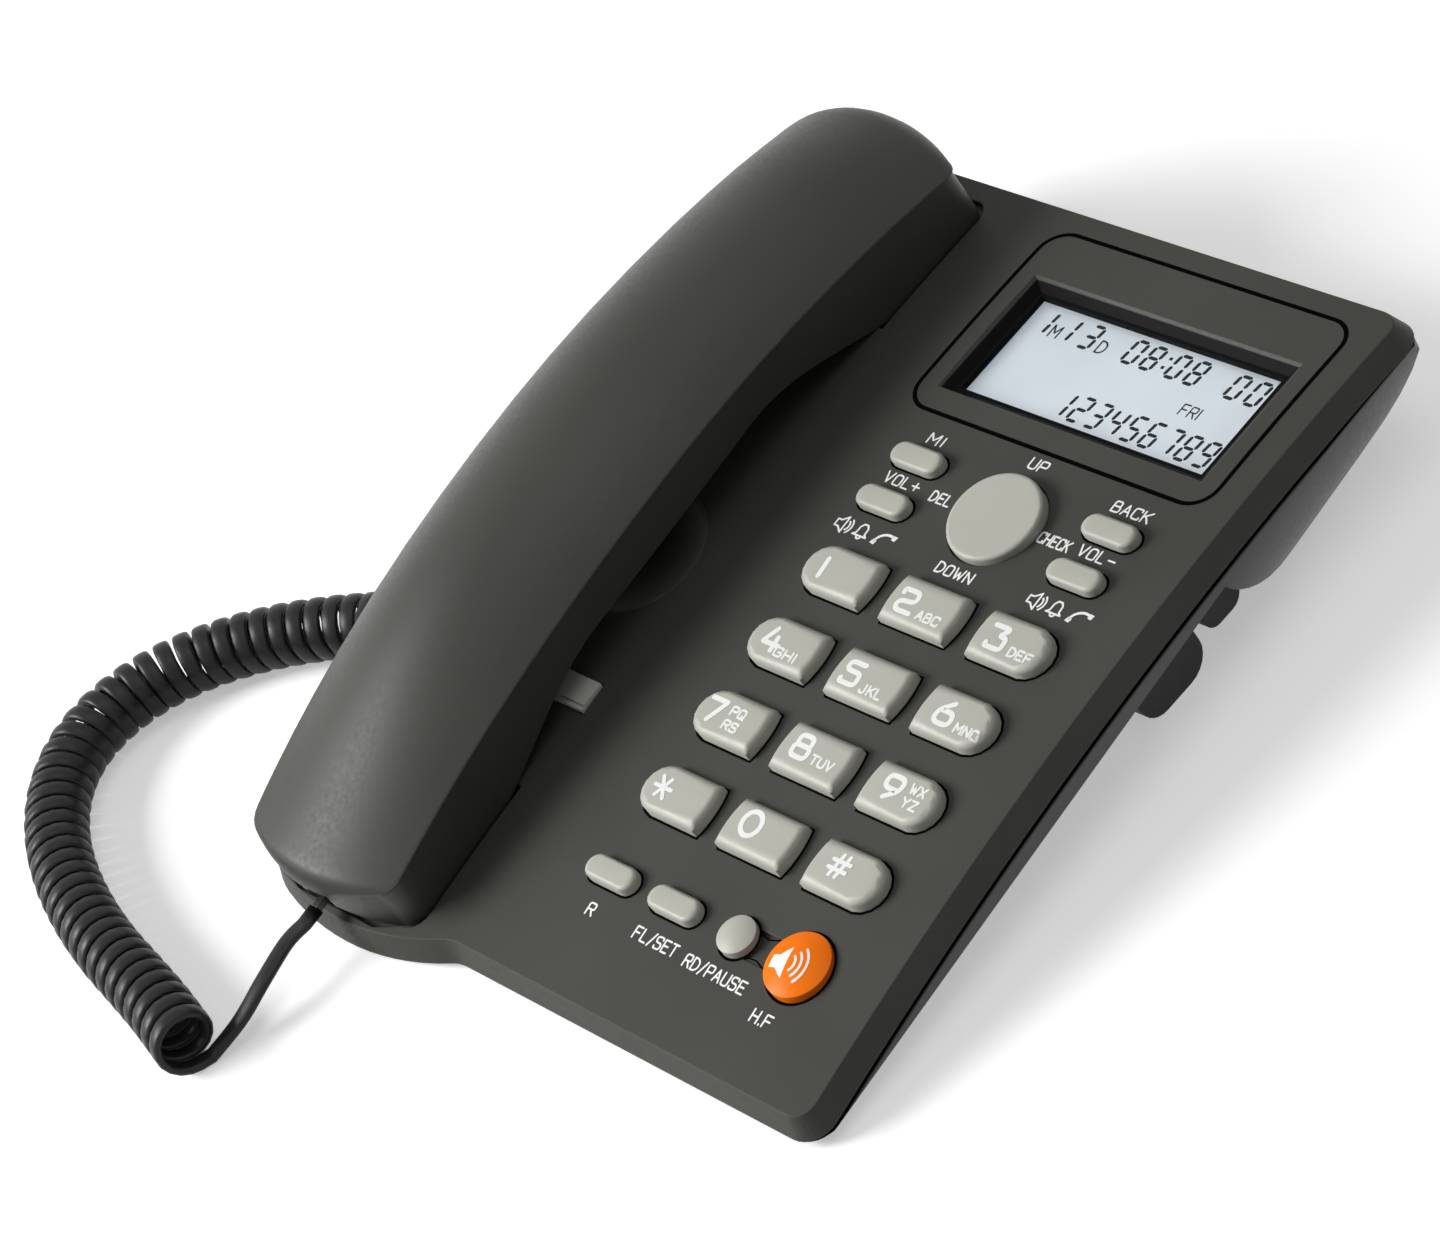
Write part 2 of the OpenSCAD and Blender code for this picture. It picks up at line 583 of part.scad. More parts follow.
// Round key with a domed top
module round_key(x, y, d, h, dome) {
    top = crown_z(y) + h;
    seat = crown_z(abs(y) + d / 2 + flange) - wall - flange_gap;
    ball_r = (d * d / 4 + dome * dome) / (2 * dome);
    on_desk() translate([x, y, 0]) {
        intersection() {
            translate([0, 0, seat - flange_t]) cylinder(h = top - seat + flange_t, d = d);
            translate([0, 0, top - ball_r]) sphere(r = ball_r, $fn = 256);
        }
        translate([0, 0, seat - flange_t]) cylinder(h = flange_t, d = d + 2 * flange);
        translate([0, 0, stem_z]) cylinder(h = seat - flange_t / 2 - stem_z, d = stem_d, $fn = 32);
    }
}

module number_key(col, row) {
    color(key_grey) cap_key((col - 1) * key_pitch_x, (1 - row) * key_pitch_y, key_w, key_d,
        col == 0 ? key_end : key_side, col == 2 ? key_end : key_side, key_h, key_bevel);
}

module pill_key(x, y) {
    color(key_grey) cap_key(x, y, pill_w, pill_d, pill_d / 2, pill_d / 2, pill_h, 0.8);
}

// Openings of the cover for every key
module key_holes() {
    g = 2 * key_gap;
    for (col = [0:2], row = [0:3]) translate([(col - 1) * key_pitch_x, (1 - row) * key_pitch_y, 0])
        prism(key_outline(key_w + g, key_d + g, col == 0 ? key_end : key_side, col == 2 ? key_end : key_side),
            -far / 10, over);
    for (p = [[pill_left, pill_row_1], [pill_left, pill_row_2], [pill_right, pill_row_1],
        [pill_right, pill_row_2], [pill_left, pill_row_3], [set_x, pill_row_3]])
        translate([p.x, p.y, 0])
            prism(key_outline(pill_w + g, pill_d + g, (pill_d + g) / 2, (pill_d + g) / 2), -far / 10, over);
    for (q = [[dot_x, pill_row_3, dot_d], [speaker_x, pill_row_3, speaker_key_d], [nav_x, nav_y, nav_d]])
        translate([q[0], q[1], -far / 10]) cylinder(h = far / 10 + over, d = q[2] + g);
    box(dot_x, speaker_x, pill_row_3 - neck_w / 2, pill_row_3 + neck_w / 2,
        crown_z(pill_row_3) - neck_depth, over);
}

// Room of a handset cup, grown by e, between two depths of the handset and down to z
module well(span, z, e) {
    intersection() {
        prism(handset_outline(body_inset - well_gap - e), z - e, over);
        box(-far, far, span[0] - e, span[1] + e, z - 2 * e - over, 2 * over);
    }
}

mouth_floor = -mouth_depth - seat_gap;
ear_floor = -ear_depth - seat_gap;

module base_cover() {
    color(body_grey) on_desk() difference() {
        union() {
            difference() {
                intersection() {
                    skirt_block(0);
                    crown(0);
                }
                intersection() {
                    skirt_block(wall);
                    crown(wall);
                }
                crown(skirt_h);
            }
            intersection() {
                skirt_block(wall / 2);
                crown(wall / 2);
                union() {
                    well(mouth_well, mouth_floor, well_t);
                    well(ear_well, ear_floor, well_t);
                    translate([scoop_c.x, scoop_c.y, -scoop_h - wall])
                        cylinder(h = scoop_h + wall, r = scoop_r + wall);
                    for (p = screw_at) translate([p.x, p.y, split_z(p.y)])
                        cylinder(h = screw_split, d = cover_boss_d, $fn = 32);
                }
            }
        }
        well(mouth_well, mouth_floor, 0);
        well(ear_well, ear_floor, 0);
        translate([scoop_c.x, scoop_c.y, scoop_ball_r - scoop_h]) sphere(r = scoop_ball_r, $fn = 256);
        key_holes();
        at_crown(bezel_x, bezel_y)
            prism(bezel_outline(bezel_gap), -far / 10, bezel_over);
        for (q = [[hook_c.x, hook_w], [post_x, post_w]])
            box(q[0] - q[1] / 2 - hook_gap, q[0] + q[1] / 2 + hook_gap,
                hook_c.y - hook_d / 2 - hook_gap, hook_c.y + hook_d / 2 + hook_gap, -wall - over, over);
        for (p = screw_at) translate([p.x, p.y, split_z(p.y) - over])
            cylinder(h = screw_split + over - 0.9, d = screw_d + 2 * screw_gap, $fn = 32);
    }
}

// Side view of the belly as [y, z] points: front curve, flat underside and rear curve, drawn in by e
function belly_side(e) = let (flat_y0 = belly_y + belly_front, rear_y = base_y1 - side_gap,
    flat_y1 = rear_y - belly_rear, rear_z = crown_z(base_y1) - skirt_h) drawn_in(concat(
    curve([belly_y, -rim_h], [belly_y + belly_front * 0.1, -rim_h - 8],
        [flat_y0 - 7, pan_z(flat_y0 - 7)], [flat_y0, pan_z(flat_y0)], 10),
    curve([flat_y1, pan_z(flat_y1)], [flat_y1 + belly_rear * 0.23, pan_z(flat_y1) + 2.5],
        [rear_y - belly_rear * 0.26, rear_z - 16.5], [rear_y, rear_z], 12)), e);
// Front view of the belly's right side as [x, z] points, from the rim down, drawn in by e
function belly_flank(x, lean, e) = let (low = -pan_z(base_y1)) drawn_in(
    curve([x, -rim_h - 1], [x - lean * 0.08, -rim_h - 11], [x - lean * 0.39, 10 - low],
        [x - lean, -low], 8), -e);

// Flat part of the pan: rim walls, then sides that lean in to the flat underside, drawn in by e
module boat(e) {
    x0 = base_x0 + side_gap + e;
    x1 = base_x1 - side_gap - e;
    y1 = belly_y + belly_front + boat_lap;
    lean = e * (sqrt(2) - 1);
    low = -pan_z(base_y1) + over;
    intersection() {
        prism(base_outline(side_gap + e), -far / 4, 0);
        front_prism([[x1, 0], [x1, lean - rim_h], [x1 - low + rim_h, lean - low],
            [x0 + low - left_rim_h, lean - low], [x0, lean - left_rim_h], [x0, 0]],
            base_y0 - far, base_y1 + over);
        side_prism([[base_y0 - far / 4, 0], [base_y0 - far / 4, e - rim_h], [floor_y, e - rim_h],
            [y1, pan_z(y1) + e], [y1, 0]], base_x0 - over, base_x1 + over);
    }
}

// Deep rear part of the pan, rounded like a hull, drawn in by e
module belly(e) {
    right = belly_flank(base_x1 - side_gap, belly_lean, e);
    left = [for (p = right) [base_x0 + base_x1 - p.x, p.y]];
    side = belly_side(e);
    last = len(right) - 1;
    intersection() {
        prism(base_outline(side_gap + e), -far / 4, 0);
        front_prism(concat([[right[0].x, 0]], right, [for (k = [last:-1:0]) left[k]], [[left[0].x, 0]]),
            belly_y - over, base_y1);
        side_prism(concat([[side[0].x, 0]], side, [[side[len(side) - 1].x, 0]]),
            base_x0 - over, base_x1 + over);
    }
}

module pan_solid(e) {
    union() {
        boat(e);
        belly(e);
    }
}

module base_pan() {
    slot_w = plug_w + 2 * slot_gap;
    slot_h = plug_h + 2 * slot_gap;
    color(pan_grey) on_desk() difference() {
        union() {
            difference() {
                pan_solid(0);
                pan_solid(wall);
                difference() {
                    box(base_x0 - over, base_x1 + over, base_y0 - far / 4, base_y1 + over, -far / 8, over);
                    difference() {
                        crown(skirt_h + seam);
                        box(base_x0 - over, lobe_fillet_x, base_y0 - far / 4, lobe_lip_y, -far / 8, over);
                    }
                    prism(base_outline(wall + 2.5 * side_gap), -far / 4, 2 * over);
                }
            }
            intersection() {
                pan_solid(0);
                crown(skirt_h + seam);
                union() {
                    for (p = board_posts) translate([p.x, p.y, -far / 5])
                        cylinder(h = far / 5 + board_z - board_t, d = board_post_d, $fn = 32);
                    box(base_plug_x + 1, base_plug_x + plug_l,
                        base_plug_y - plug_w / 2, base_plug_y + plug_w / 2,
                        -far / 5, base_plug_z - plug_h / 2 - plug_gap - socket_t);
                    box(line_x - line_w / 2, line_x + line_w / 2, line_y - socket_l + 1, line_y - 1,
                        -far / 5, line_z - line_h / 2 - socket_t);
                }
            }
            intersection() {
                pan_solid(0);
                on_belly(-far / 10) difference() {
                    cylinder(h = far / 10 + loud_seat, d = loud_d);
                    translate([0, 0, -over]) cylinder(h = far / 5, d = loud_d - 2 * loud_rim);
                }
            }
            intersection() {
                pan_solid(0);
                for (p = screw_at) translate([p.x, p.y, -far / 5])
                    cylinder(h = far / 5 + split_z(p.y), d = pan_boss_d, $fn = 32);
            }
        }
        for (p = screw_at) translate([p.x, p.y, -far / 5]) {
            cylinder(h = far / 5, d = screw_d + 0.6, $fn = 32);
            cylinder(h = far / 5 + split_z(p.y) - screw_seat, d = screw_head_d + 0.6, $fn = 32);
        }
        box(base_x0 - over, base_plug_x + over, base_plug_y - slot_w / 2, base_plug_y + slot_w / 2,
            base_plug_z - slot_h / 2, base_plug_z + slot_h / 2);
        box(line_x - line_w / 2 - slot_gap, line_x + line_w / 2 + slot_gap, line_y - 0.5, base_y1 + over,
            line_z - line_h / 2 - slot_gap, line_z + line_h / 2 + slot_gap);
        on_belly(0) grille();
    }
}

// Frame over the loudspeaker's middle, z above the belly's flat underside and square to it
module on_belly(z) {
    translate([loud_at.x, loud_at.y, pan_z(loud_at.y)]) rotate([-tilt, 0, 0]) translate([0, 0, z])
        children();
}

// Rings of round holes under the loudspeaker
module grille() {
    for (ring = [0:2], i = [0:max(6 * ring - 1, 0)]) rotate([0, 0, i * 360 / max(6 * ring, 1)])
        translate([ring * grille_step, 0, -over]) cylinder(h = loud_seat, d = grille_d, $fn = 24);
}

// Side view of a foot with round ends between y0 and y1, its underside up over the desk
function foot_side(y0, y1, r, up) = concat([[y0, desk_top(y0) + far / 12]],
    arc([y0 + r, desk_top(y0 + r) + up + r / cos(tilt)], r, 180, 270 - tilt, 6),
    arc([y1 - r, desk_top(y1 - r) + up + r / cos(tilt)], r, 270 - tilt, 360, 6),
    [[y1, desk_top(y1) + far / 12]]);

module side_feet() {
    color(body_grey) on_desk() difference() {
        for (x = [base_x1 - foot_inset - foot_w, base_x0 + foot_inset - left_rim_h + rim_h],
            span = foot_spans)
            side_prism(foot_side(span[0], span[1], span[2], span[3]), x, x + foot_w);
        pan_solid(0);
        box(base_x0 - over, base_x1 + over, 0, base_y1, -rim_h - foot_inset, over);
    }
}

module rubber_pads() {
    color(cord_black) on_desk()
        for (p = pad_at)
            translate([p.x, p.y, desk_top(p.y)]) rotate([-tilt, 0, 0]) cylinder(h = pad_h, d = pad_d);
}

module base_screws() {
    color("silver") on_desk() for (p = screw_at) translate([p.x, p.y, split_z(p.y) - screw_seat]) {
        translate([0, 0, -screw_head_h]) cylinder(h = screw_head_h, d = screw_head_d, $fn = 32);
        cylinder(h = screw_seat + screw_split - 1.2, d = screw_d, $fn = 32);
    }
}

// Recess with four sloped sides that open upwards, between two rectangles
module sloped_recess(w0, d0, w1, d1, depth) {
    dw = (w1 - w0) / depth / 2;
    dd = (d1 - d0) / depth / 2;
    w2 = w1 / 2 + dw * bezel_over;
    d2 = d1 / 2 + dd * bezel_over;
    intersection() {
        front_prism([[-w0 / 2, -depth], [w0 / 2, -depth], [w2, bezel_over], [-w2, bezel_over]], -d1, d1);
        side_prism([[-d0 / 2, -depth], [d0 / 2, -depth], [d2, bezel_over], [-d2, bezel_over]], -w1, w1);
    }
}

module window_plate(e, z0, z1) {
    w = view_w + 2 * window_lap + 2 * e;
    d = view_d + 2 * window_lap + 2 * e;
    translate([-w / 2, -view_ahead - d / 2, z0]) cube([w, d, z1 - z0]);
}

module display_bezel() {
    color([0.24, 0.24, 0.23]) on_desk() difference() {
        union() {
            intersection() {
                crown(0);
                at_crown(bezel_x, bezel_y) prism(bezel_outline(0), -bezel_t, bezel_over);
            }
            intersection() {
                crown(wall);
                at_crown(bezel_x, bezel_y) prism(bezel_outline(bezel_lip), -bezel_t, bezel_over);
            }
        }
        at_crown(bezel_x, bezel_y) {
            translate([0, -view_ahead, 0])
                sloped_recess(view_w + 2 * bevel_inset, view_d + 2 * bevel_inset,
                    recess_w, recess_d, bevel_depth);
            translate([-view_w / 2, -view_ahead - view_d / 2, -bezel_t - over])
                cube([view_w, view_d, bezel_t]);
            window_plate(0.2, -bezel_t - over, -view_depth);
        }
    }
}

module display_window() {
    color([0.6, 0.65, 0.68], 0.5) on_desk() at_crown(bezel_x, bezel_y)
        window_plate(0, -view_depth - window_t, -view_depth);
}

module lcd_panel() {
    color([0.75, 0.78, 0.8]) on_desk() at_crown(bezel_x, bezel_y)
        window_plate(0, -bezel_t, -view_depth - window_t);
}

module main_board() {
    color("darkgreen") on_desk() difference() {
        union() {
            box(-board_x, board_x, board_y0, board_y1, board_z - board_t, board_z);
            box(hook_c.x - 12, -board_x + over, hook_c.y - 10, hook_c.y + 10, board_z - board_t, board_z);
        }
        for (p = board_posts) translate([p.x, p.y, board_z - board_t - over])
            cylinder(h = board_t + 2 * over, d = 2.6, $fn = 24);
    }
}

module keypad_mat() {
    color("gray") on_desk() difference() {
        box(-board_x + 4, board_x - 4, board_y0 + 2, board_y1 - 2, board_z, mat_z);
        translate([nav_x, nav_y, board_z - over]) cylinder(h = mat_t + 2 * over, r = nav_ball_r - 0.3);
        for (p = board_posts) translate([p.x, p.y, board_z - over])
            cylinder(h = mat_t + 2 * over, d = 4, $fn = 24);
    }
}

module key_1() { number_key(0, 0); }
module key_2() { number_key(1, 0); }
module key_3() { number_key(2, 0); }
module key_4() { number_key(0, 1); }
module key_5() { number_key(1, 1); }
module key_6() { number_key(2, 1); }
module key_7() { number_key(0, 2); }
module key_8() { number_key(1, 2); }
module key_9() { number_key(2, 2); }
module key_star() { number_key(0, 3); }
module key_0() { number_key(1, 3); }
module key_hash() { number_key(2, 3); }
module key_memory() { pill_key(pill_left, pill_row_1); }
module key_volume_up() { pill_key(pill_left, pill_row_2); }
module key_back() { pill_key(pill_right, pill_row_1); }
module key_volume_down() { pill_key(pill_right, pill_row_2); }
module key_flash() { pill_key(pill_left, pill_row_3); }
module key_set() { pill_key(set_x, pill_row_3); }
module key_redial() { color(key_grey) round_key(dot_x, pill_row_3, dot_d, pill_h, 1); }
module key_speaker() { color("darkorange") round_key(speaker_x, pill_row_3, speaker_key_d, key_h, 1.6); }

// Navigation disc with a ball socket in its underside
module nav_key() {
    top = crown_z(nav_y) + nav_h;
    rim = 0.8;
    seat = crown_z(nav_y + nav_d / 2 + flange) - wall - nav_room;
    color(key_grey) on_desk() translate([nav_x, nav_y, 0]) difference() {
        rotate_extrude($fn = 96) polygon([[0, seat - flange_t], [nav_d / 2 + flange, seat - flange_t],
            [nav_d / 2 + flange, seat], [nav_d / 2, seat], [nav_d / 2, top - rim],
            [nav_d / 2 - 0.3 * rim, top - 0.3 * rim], [nav_d / 2 - rim, top], [0, top]]);
        translate([0, 0, nav_ball_z]) sphere(r = nav_ball_r + nav_ball_gap);
    }
}

module nav_pivot() {
    color("dimgray") on_desk() translate([nav_x, nav_y, nav_ball_z]) sphere(r = nav_ball_r);
}

// Hook: flat tab beside the handset, post under its grip and the plate that joins them below the cover
module hook_plunger() {
    foot = hook_seat - flange_t;
    y0 = hook_c.y - hook_d / 2;
    y1 = hook_c.y + hook_d / 2;
    tab_top = crown_z(hook_c.y) + hook_h;
    color([0.48, 0.48, 0.46]) on_desk() difference() {
        union() {
            box(hook_c.x - hook_w / 2, hook_c.x + hook_w / 2, y0, y1, foot, tab_top);
            side_prism([[y0, foot], [y1, foot], [y1, post_h - over], [y1 - over, post_h], [y0 + over, post_h],
                [y0, post_h - over]], post_x - post_w / 2, post_x + post_w / 2);
            box(post_x - post_w / 2 - flange, hook_c.x + hook_w / 2 + flange, y0 - flange, y1 + flange,
                foot, hook_seat);
        }
        box(hook_c.x - hook_w / 2 - over, hook_c.x + hook_w / 2 + over, y0 + tab_groove, y0 + 2 * tab_groove,
            tab_top - tab_groove, tab_top + over);
    }
}

module hook_switch() {
    color("black") on_desk() box(hook_c.x - 6.4, hook_c.x + 6.4, hook_c.y - 3, hook_c.y + 3,
        board_z, hook_seat - flange_t - 0.2);
}

// Loudspeaker: frame flange, cone body and magnet, standing on the belly's ring
module loudspeaker() {
    color("dimgray") on_desk() on_belly(loud_seat) rotate_extrude($fn = 96)
        polygon([[0, 1.5], [loud_d / 2 - 3, 1.5], [loud_d / 2 - 2, 0],
            [loud_d / 2, 0], [loud_d / 2, 2], [loud_d / 4, loud_h - 5], [loud_d / 4, loud_h], [0, loud_h]]);
}

// Open box of a cord socket, along x, for a plug of w by h
module socket(w, h, l) {
    difference() {
        box(0, l, -w / 2 - socket_t, w / 2 + socket_t, -h / 2 - socket_t, h / 2 + socket_t);
        box(-over, l - socket_t, -w / 2, w / 2, -h / 2, h / 2);
    }
}

module line_jack() {
    color("black") on_desk() translate([line_x, line_y, line_z]) rotate([0, 0, -90])
        socket(line_w, line_h, socket_l);
}

module base_cord_jack() {
    color("black") on_desk() translate([base_plug_x + 1, base_plug_y, base_plug_z])
        socket(plug_w + 2 * plug_gap, plug_h + 2 * plug_gap, socket_l);
}

// Crowned back of the handset: outer and inner skins joined along the parting line
module handset_top() {
    n = cross_n + 1;
    half = row_n * n;
    outer = [for (i = [0:row_n - 2], j = [0:cross_n - 1]) let (a = i * n + j)
        each [[a, a + n + 1, a + 1], [a, a + n, a + n + 1]]];
    inner = [for (f = outer) [f[0] + half, f[2] + half, f[1] + half]];
    loop = concat([for (j = [0:cross_n]) j], [for (i = [1:row_n - 1]) i * n + cross_n],
        [for (j = [cross_n - 1:-1:0]) (row_n - 1) * n + j], [for (i = [row_n - 2:-1:1]) i * n]);
    rim = [for (k = [0:len(loop) - 1]) let (a = loop[k], b = loop[(k + 1) % len(loop)])
        each [[a, b, b + half], [a, b + half, a + half]]];
    color(body_grey) on_desk()
        polyhedron(concat(back_skin(0), back_skin(shell_t)), concat(outer, inner, rim), convexity = 10);
}

module body_solid(e, up) {
    intersection() {
        prism(handset_outline(body_inset + e), -far / 4, far / 4);
        side_prism(body_profile(e, up), handset_c - far / 4, handset_c + far / 4);
    }
}

weight_w = handset_w * 0.3;
weight_l = (handset_front + handset_rear) / 4;
weight_h = 5;
ear_at = [handset_c, handset_rear - 22];
ear_d = 34;
ear_h = 7;
ear_z = 0.5;
ear_holes_y = handset_rear - 15;
mic_at = [handset_c + 14, 8 - handset_front];
mic_d = 9.7;

module handset_body() {
    color(body_grey) on_desk() difference() {
        union() {
            difference() {
                body_solid(0, -handset_seam);
                body_solid(wall, over);
            }
            intersection() {
                body_solid(0, -handset_seam);
                translate([ear_at.x, ear_at.y, -far / 10]) difference() {
                    cylinder(h = far / 10 + ear_z, d = ear_d);
                    translate([0, 0, -over]) cylinder(h = far / 5, d = ear_d - 5);
                }
            }
        }
        translate([ear_at.x, ear_holes_y, -far / 10]) {
            cylinder(h = far / 10 - over, d = 2, $fn = 24);
            for (i = [0:7]) rotate([0, 0, 45 * i]) translate([6, 0, 0])
                cylinder(h = far / 10 - over, d = 2, $fn = 24);
        }
        for (i = [-1:1]) translate([mic_at.x + 3 * i, mic_at.y, -far / 10])
            cylinder(h = far / 10 - mouth_depth + wall + over, d = 1.4, $fn = 24);
        box(handset_plug_at.x - plug_w / 2 - slot_gap, handset_plug_at.x + plug_w / 2 + slot_gap,
            -far / 2, front_foot_y + wall + 1.5,
            handset_plug_at.z - plug_h / 2 - slot_gap, handset_plug_at.z + plug_h / 2 + slot_gap);
    }
}

module ear_capsule() {
    color("dimgray") on_desk() translate([ear_at.x, ear_at.y, ear_z]) {
        cylinder(h = ear_h - 3, d = ear_d);
        cylinder(h = ear_h, d = ear_d / 2);
    }
}

module microphone() {
    color("silver") on_desk() translate([mic_at.x, mic_at.y, wall - mouth_depth])
        cylinder(h = 4, d = mic_d);
}

module handset_weight() {
    color("gray") on_desk() box(handset_c - weight_w / 2, handset_c + weight_w / 2, wide_y - weight_l / 2,
        wide_y + weight_l / 2, grip_h + wall, grip_h + wall + weight_h);
}

module handset_jack() {
    color("black") on_desk() difference() {
        box(handset_plug_at.x - plug_w / 2 - socket_t, handset_plug_at.x + plug_w / 2 + socket_t,
            front_foot_y + wall + 1.5, handset_plug_at.y + socket_l,
            wall - mouth_depth, handset_plug_at.z + plug_h / 2 + socket_t);
        box(handset_plug_at.x - plug_w / 2 - plug_gap, handset_plug_at.x + plug_w / 2 + plug_gap,
            handset_plug_at.y - over, handset_plug_at.y + plug_l + plug_gap,
            handset_plug_at.z - plug_h / 2 - plug_gap, handset_plug_at.z + plug_h / 2 + plug_gap);
    }
}

// Plug along x with its spring latch on top and the flat cord's stub behind it
module plug() {
    latch = 1.2;
    box(0, plug_l, -plug_w / 2, plug_w / 2, -plug_h / 2, plug_h / 2 - latch);
    box(plug_l * 0.3, plug_l, -plug_w / 4, plug_w / 4, plug_h / 2 - latch - over / 2, plug_h / 2);
}

module plug_tail() {
    skin([for (x = [-plug_stub, over]) [for (q = section) [x, q[0] * cord_w / 2, q[1] * cord_t / 2]]]);
}

module handset_plug() {
    color(cord_black) on_desk() translate(handset_plug_at) rotate([0, 0, 90]) {
        plug();
        plug_tail();
    }
}

module base_plug() {
    color(cord_black) on_desk() translate([base_plug_x, base_plug_y, base_plug_z]) {
        plug();
        plug_tail();
    }
}

module cord_lead() {
    color(cord_black) skin(run_rings(lead_run, -panel_back, curl_dir(0), panel_up, -curl_out(0)));
}

module cord_curls() {
    echo("least gap between curls, mm", least_gap(curl_rings));
    color(cord_black) skin(curl_rings);
}

module cord_tail() {
    color(cord_black) skin(run_rings(tail_run, curl_dir(curl_n), [1, 0, 0], -curl_out(curl_n), panel_up));
}

base_cover();
base_pan();
side_feet();
rubber_pads();
base_screws();
display_bezel();
display_window();
lcd_panel();
main_board();
keypad_mat();
key_1();
key_2();
key_3();
key_4();
key_5();
key_6();
key_7();
key_8();
key_9();
key_star();
key_0();
key_hash();
key_memory();
key_volume_up();
key_back();
key_volume_down();
key_flash();
key_set();
key_redial();
key_speaker();
nav_key();
nav_pivot();
hook_plunger();
hook_switch();
loudspeaker();
line_jack();
base_cord_jack();
handset_top();
handset_body();
ear_capsule();
microphone();
handset_weight();
handset_jack();
handset_plug();
cord_lead();
cord_curls();
cord_tail();
base_plug();
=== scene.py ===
import json
import math

import bpy
import numpy as np
from mathutils import Matrix, Vector
from mathutils.bvhtree import BVHTree

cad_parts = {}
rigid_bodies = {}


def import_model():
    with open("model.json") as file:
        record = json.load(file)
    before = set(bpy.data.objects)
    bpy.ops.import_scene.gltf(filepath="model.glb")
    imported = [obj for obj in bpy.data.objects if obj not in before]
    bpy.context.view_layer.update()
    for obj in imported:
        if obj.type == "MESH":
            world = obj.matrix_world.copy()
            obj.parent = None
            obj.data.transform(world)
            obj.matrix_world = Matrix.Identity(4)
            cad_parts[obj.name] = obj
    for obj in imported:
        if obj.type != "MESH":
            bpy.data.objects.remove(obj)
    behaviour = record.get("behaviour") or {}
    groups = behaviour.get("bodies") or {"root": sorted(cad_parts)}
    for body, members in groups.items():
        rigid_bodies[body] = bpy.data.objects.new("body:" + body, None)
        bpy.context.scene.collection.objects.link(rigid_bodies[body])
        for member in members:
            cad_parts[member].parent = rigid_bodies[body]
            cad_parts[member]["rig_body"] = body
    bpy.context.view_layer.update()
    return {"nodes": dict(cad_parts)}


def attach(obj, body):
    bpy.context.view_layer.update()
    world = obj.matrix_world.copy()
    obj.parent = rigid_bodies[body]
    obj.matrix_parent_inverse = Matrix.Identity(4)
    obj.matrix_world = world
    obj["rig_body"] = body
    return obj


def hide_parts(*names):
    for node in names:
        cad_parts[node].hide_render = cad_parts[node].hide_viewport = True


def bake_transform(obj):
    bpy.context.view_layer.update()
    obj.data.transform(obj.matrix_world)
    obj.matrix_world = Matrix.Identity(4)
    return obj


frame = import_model()
nodes = frame["nodes"]
scene = bpy.context.scene
scene.view_settings.view_transform = "Standard"

# Frame of the sloping top: middle of key 5, and its three directions
MM = 0.001
TILT = math.radians(8.5)
ORIGIN = Vector((36.2, -15.513933, 25.697349)) * MM
RIGHT = Vector((1, 0, 0))
BACK = Vector((0, math.cos(TILT), math.sin(TILT)))
UP = Vector((0, -math.sin(TILT), math.cos(TILT)))


def panel(x, y, z=0.0):
    """World place of a point of the sloping top, in millimetres from the middle of key 5."""
    return ORIGIN + (RIGHT * x + BACK * y + UP * z) * MM


# Camera, at the photograph's angle: its three directions, place in metres and lens in millimetres
CAMERA_AXES = (
    (0.673184, 0.642276, -0.366476),
    (-0.289535, 0.684956, 0.668584),
    (0.680435, -0.343973, 0.647063),
)
CAMERA_PLACE = (0.665448, -0.356593, 0.666949)
CAMERA_LENS = 120.943
SENSOR_W = 36
CLIP_START = 0.02

camera = bpy.data.objects.new("camera", bpy.data.cameras.new("camera"))
scene.collection.objects.link(camera)
camera.matrix_world = Matrix.Translation(CAMERA_PLACE) @ Matrix(CAMERA_AXES).transposed().to_4x4()
camera.data.lens = CAMERA_LENS
camera.data.sensor_width = SENSOR_W
camera.data.sensor_fit = "HORIZONTAL"
camera.data.clip_start = CLIP_START
scene.camera = camera


# Meshes
def mesh_piece(name, verts, faces, material, smooth=True):
    """Piece of the scene from points in metres."""
    mesh = bpy.data.meshes.new(name)
    mesh.from_pydata([tuple(v) for v in verts], [], faces)
    mesh.validate()
    mesh.polygons.foreach_set("use_smooth", [smooth] * len(mesh.polygons))
    mesh.materials.append(material)
    piece = bpy.data.objects.new(name, mesh)
    scene.collection.objects.link(piece)
    return piece


def tube_faces(rings, sides):
    """Faces of a tube with closed ends, from rings of points."""
    faces = []
    for i in range(rings - 1):
        near, far = i * sides, (i + 1) * sides
        for k in range(sides):
            after = (k + 1) % sides
            faces.append((near + k, near + after, far + after, far + k))
    return faces + [tuple(range(sides))[::-1], tuple(range((rings - 1) * sides, rings * sides))]


# Materials
def node(tree, kind, **values):
    """New shader node with its values set."""
    made = tree.nodes.new(kind)
    for name, value in values.items():
        setattr(made, name, value)
    return made


def noise(tree, coord, scale, detail):
    """Soft noise over a surface."""
    made = node(tree, "ShaderNodeTexNoise")
    made.inputs["Scale"].default_value = scale
    made.inputs["Detail"].default_value = detail
    made.inputs["Roughness"].default_value = 0.5
    tree.links.new(coord, made.inputs["Vector"])
    return made.outputs["Fac"]


def ramp(tree, value, start, end, low=0, high=1):
    """Value brought from start and end to low and high."""
    made = node(tree, "ShaderNodeMapRange")
    for name, number in (("From Min", start), ("From Max", end), ("To Min", low), ("To Max", high)):
        made.inputs[name].default_value = number
    tree.links.new(value, made.inputs["Value"])
    return made.outputs["Result"]


NOISE_SPAN = (0.3, 0.7)


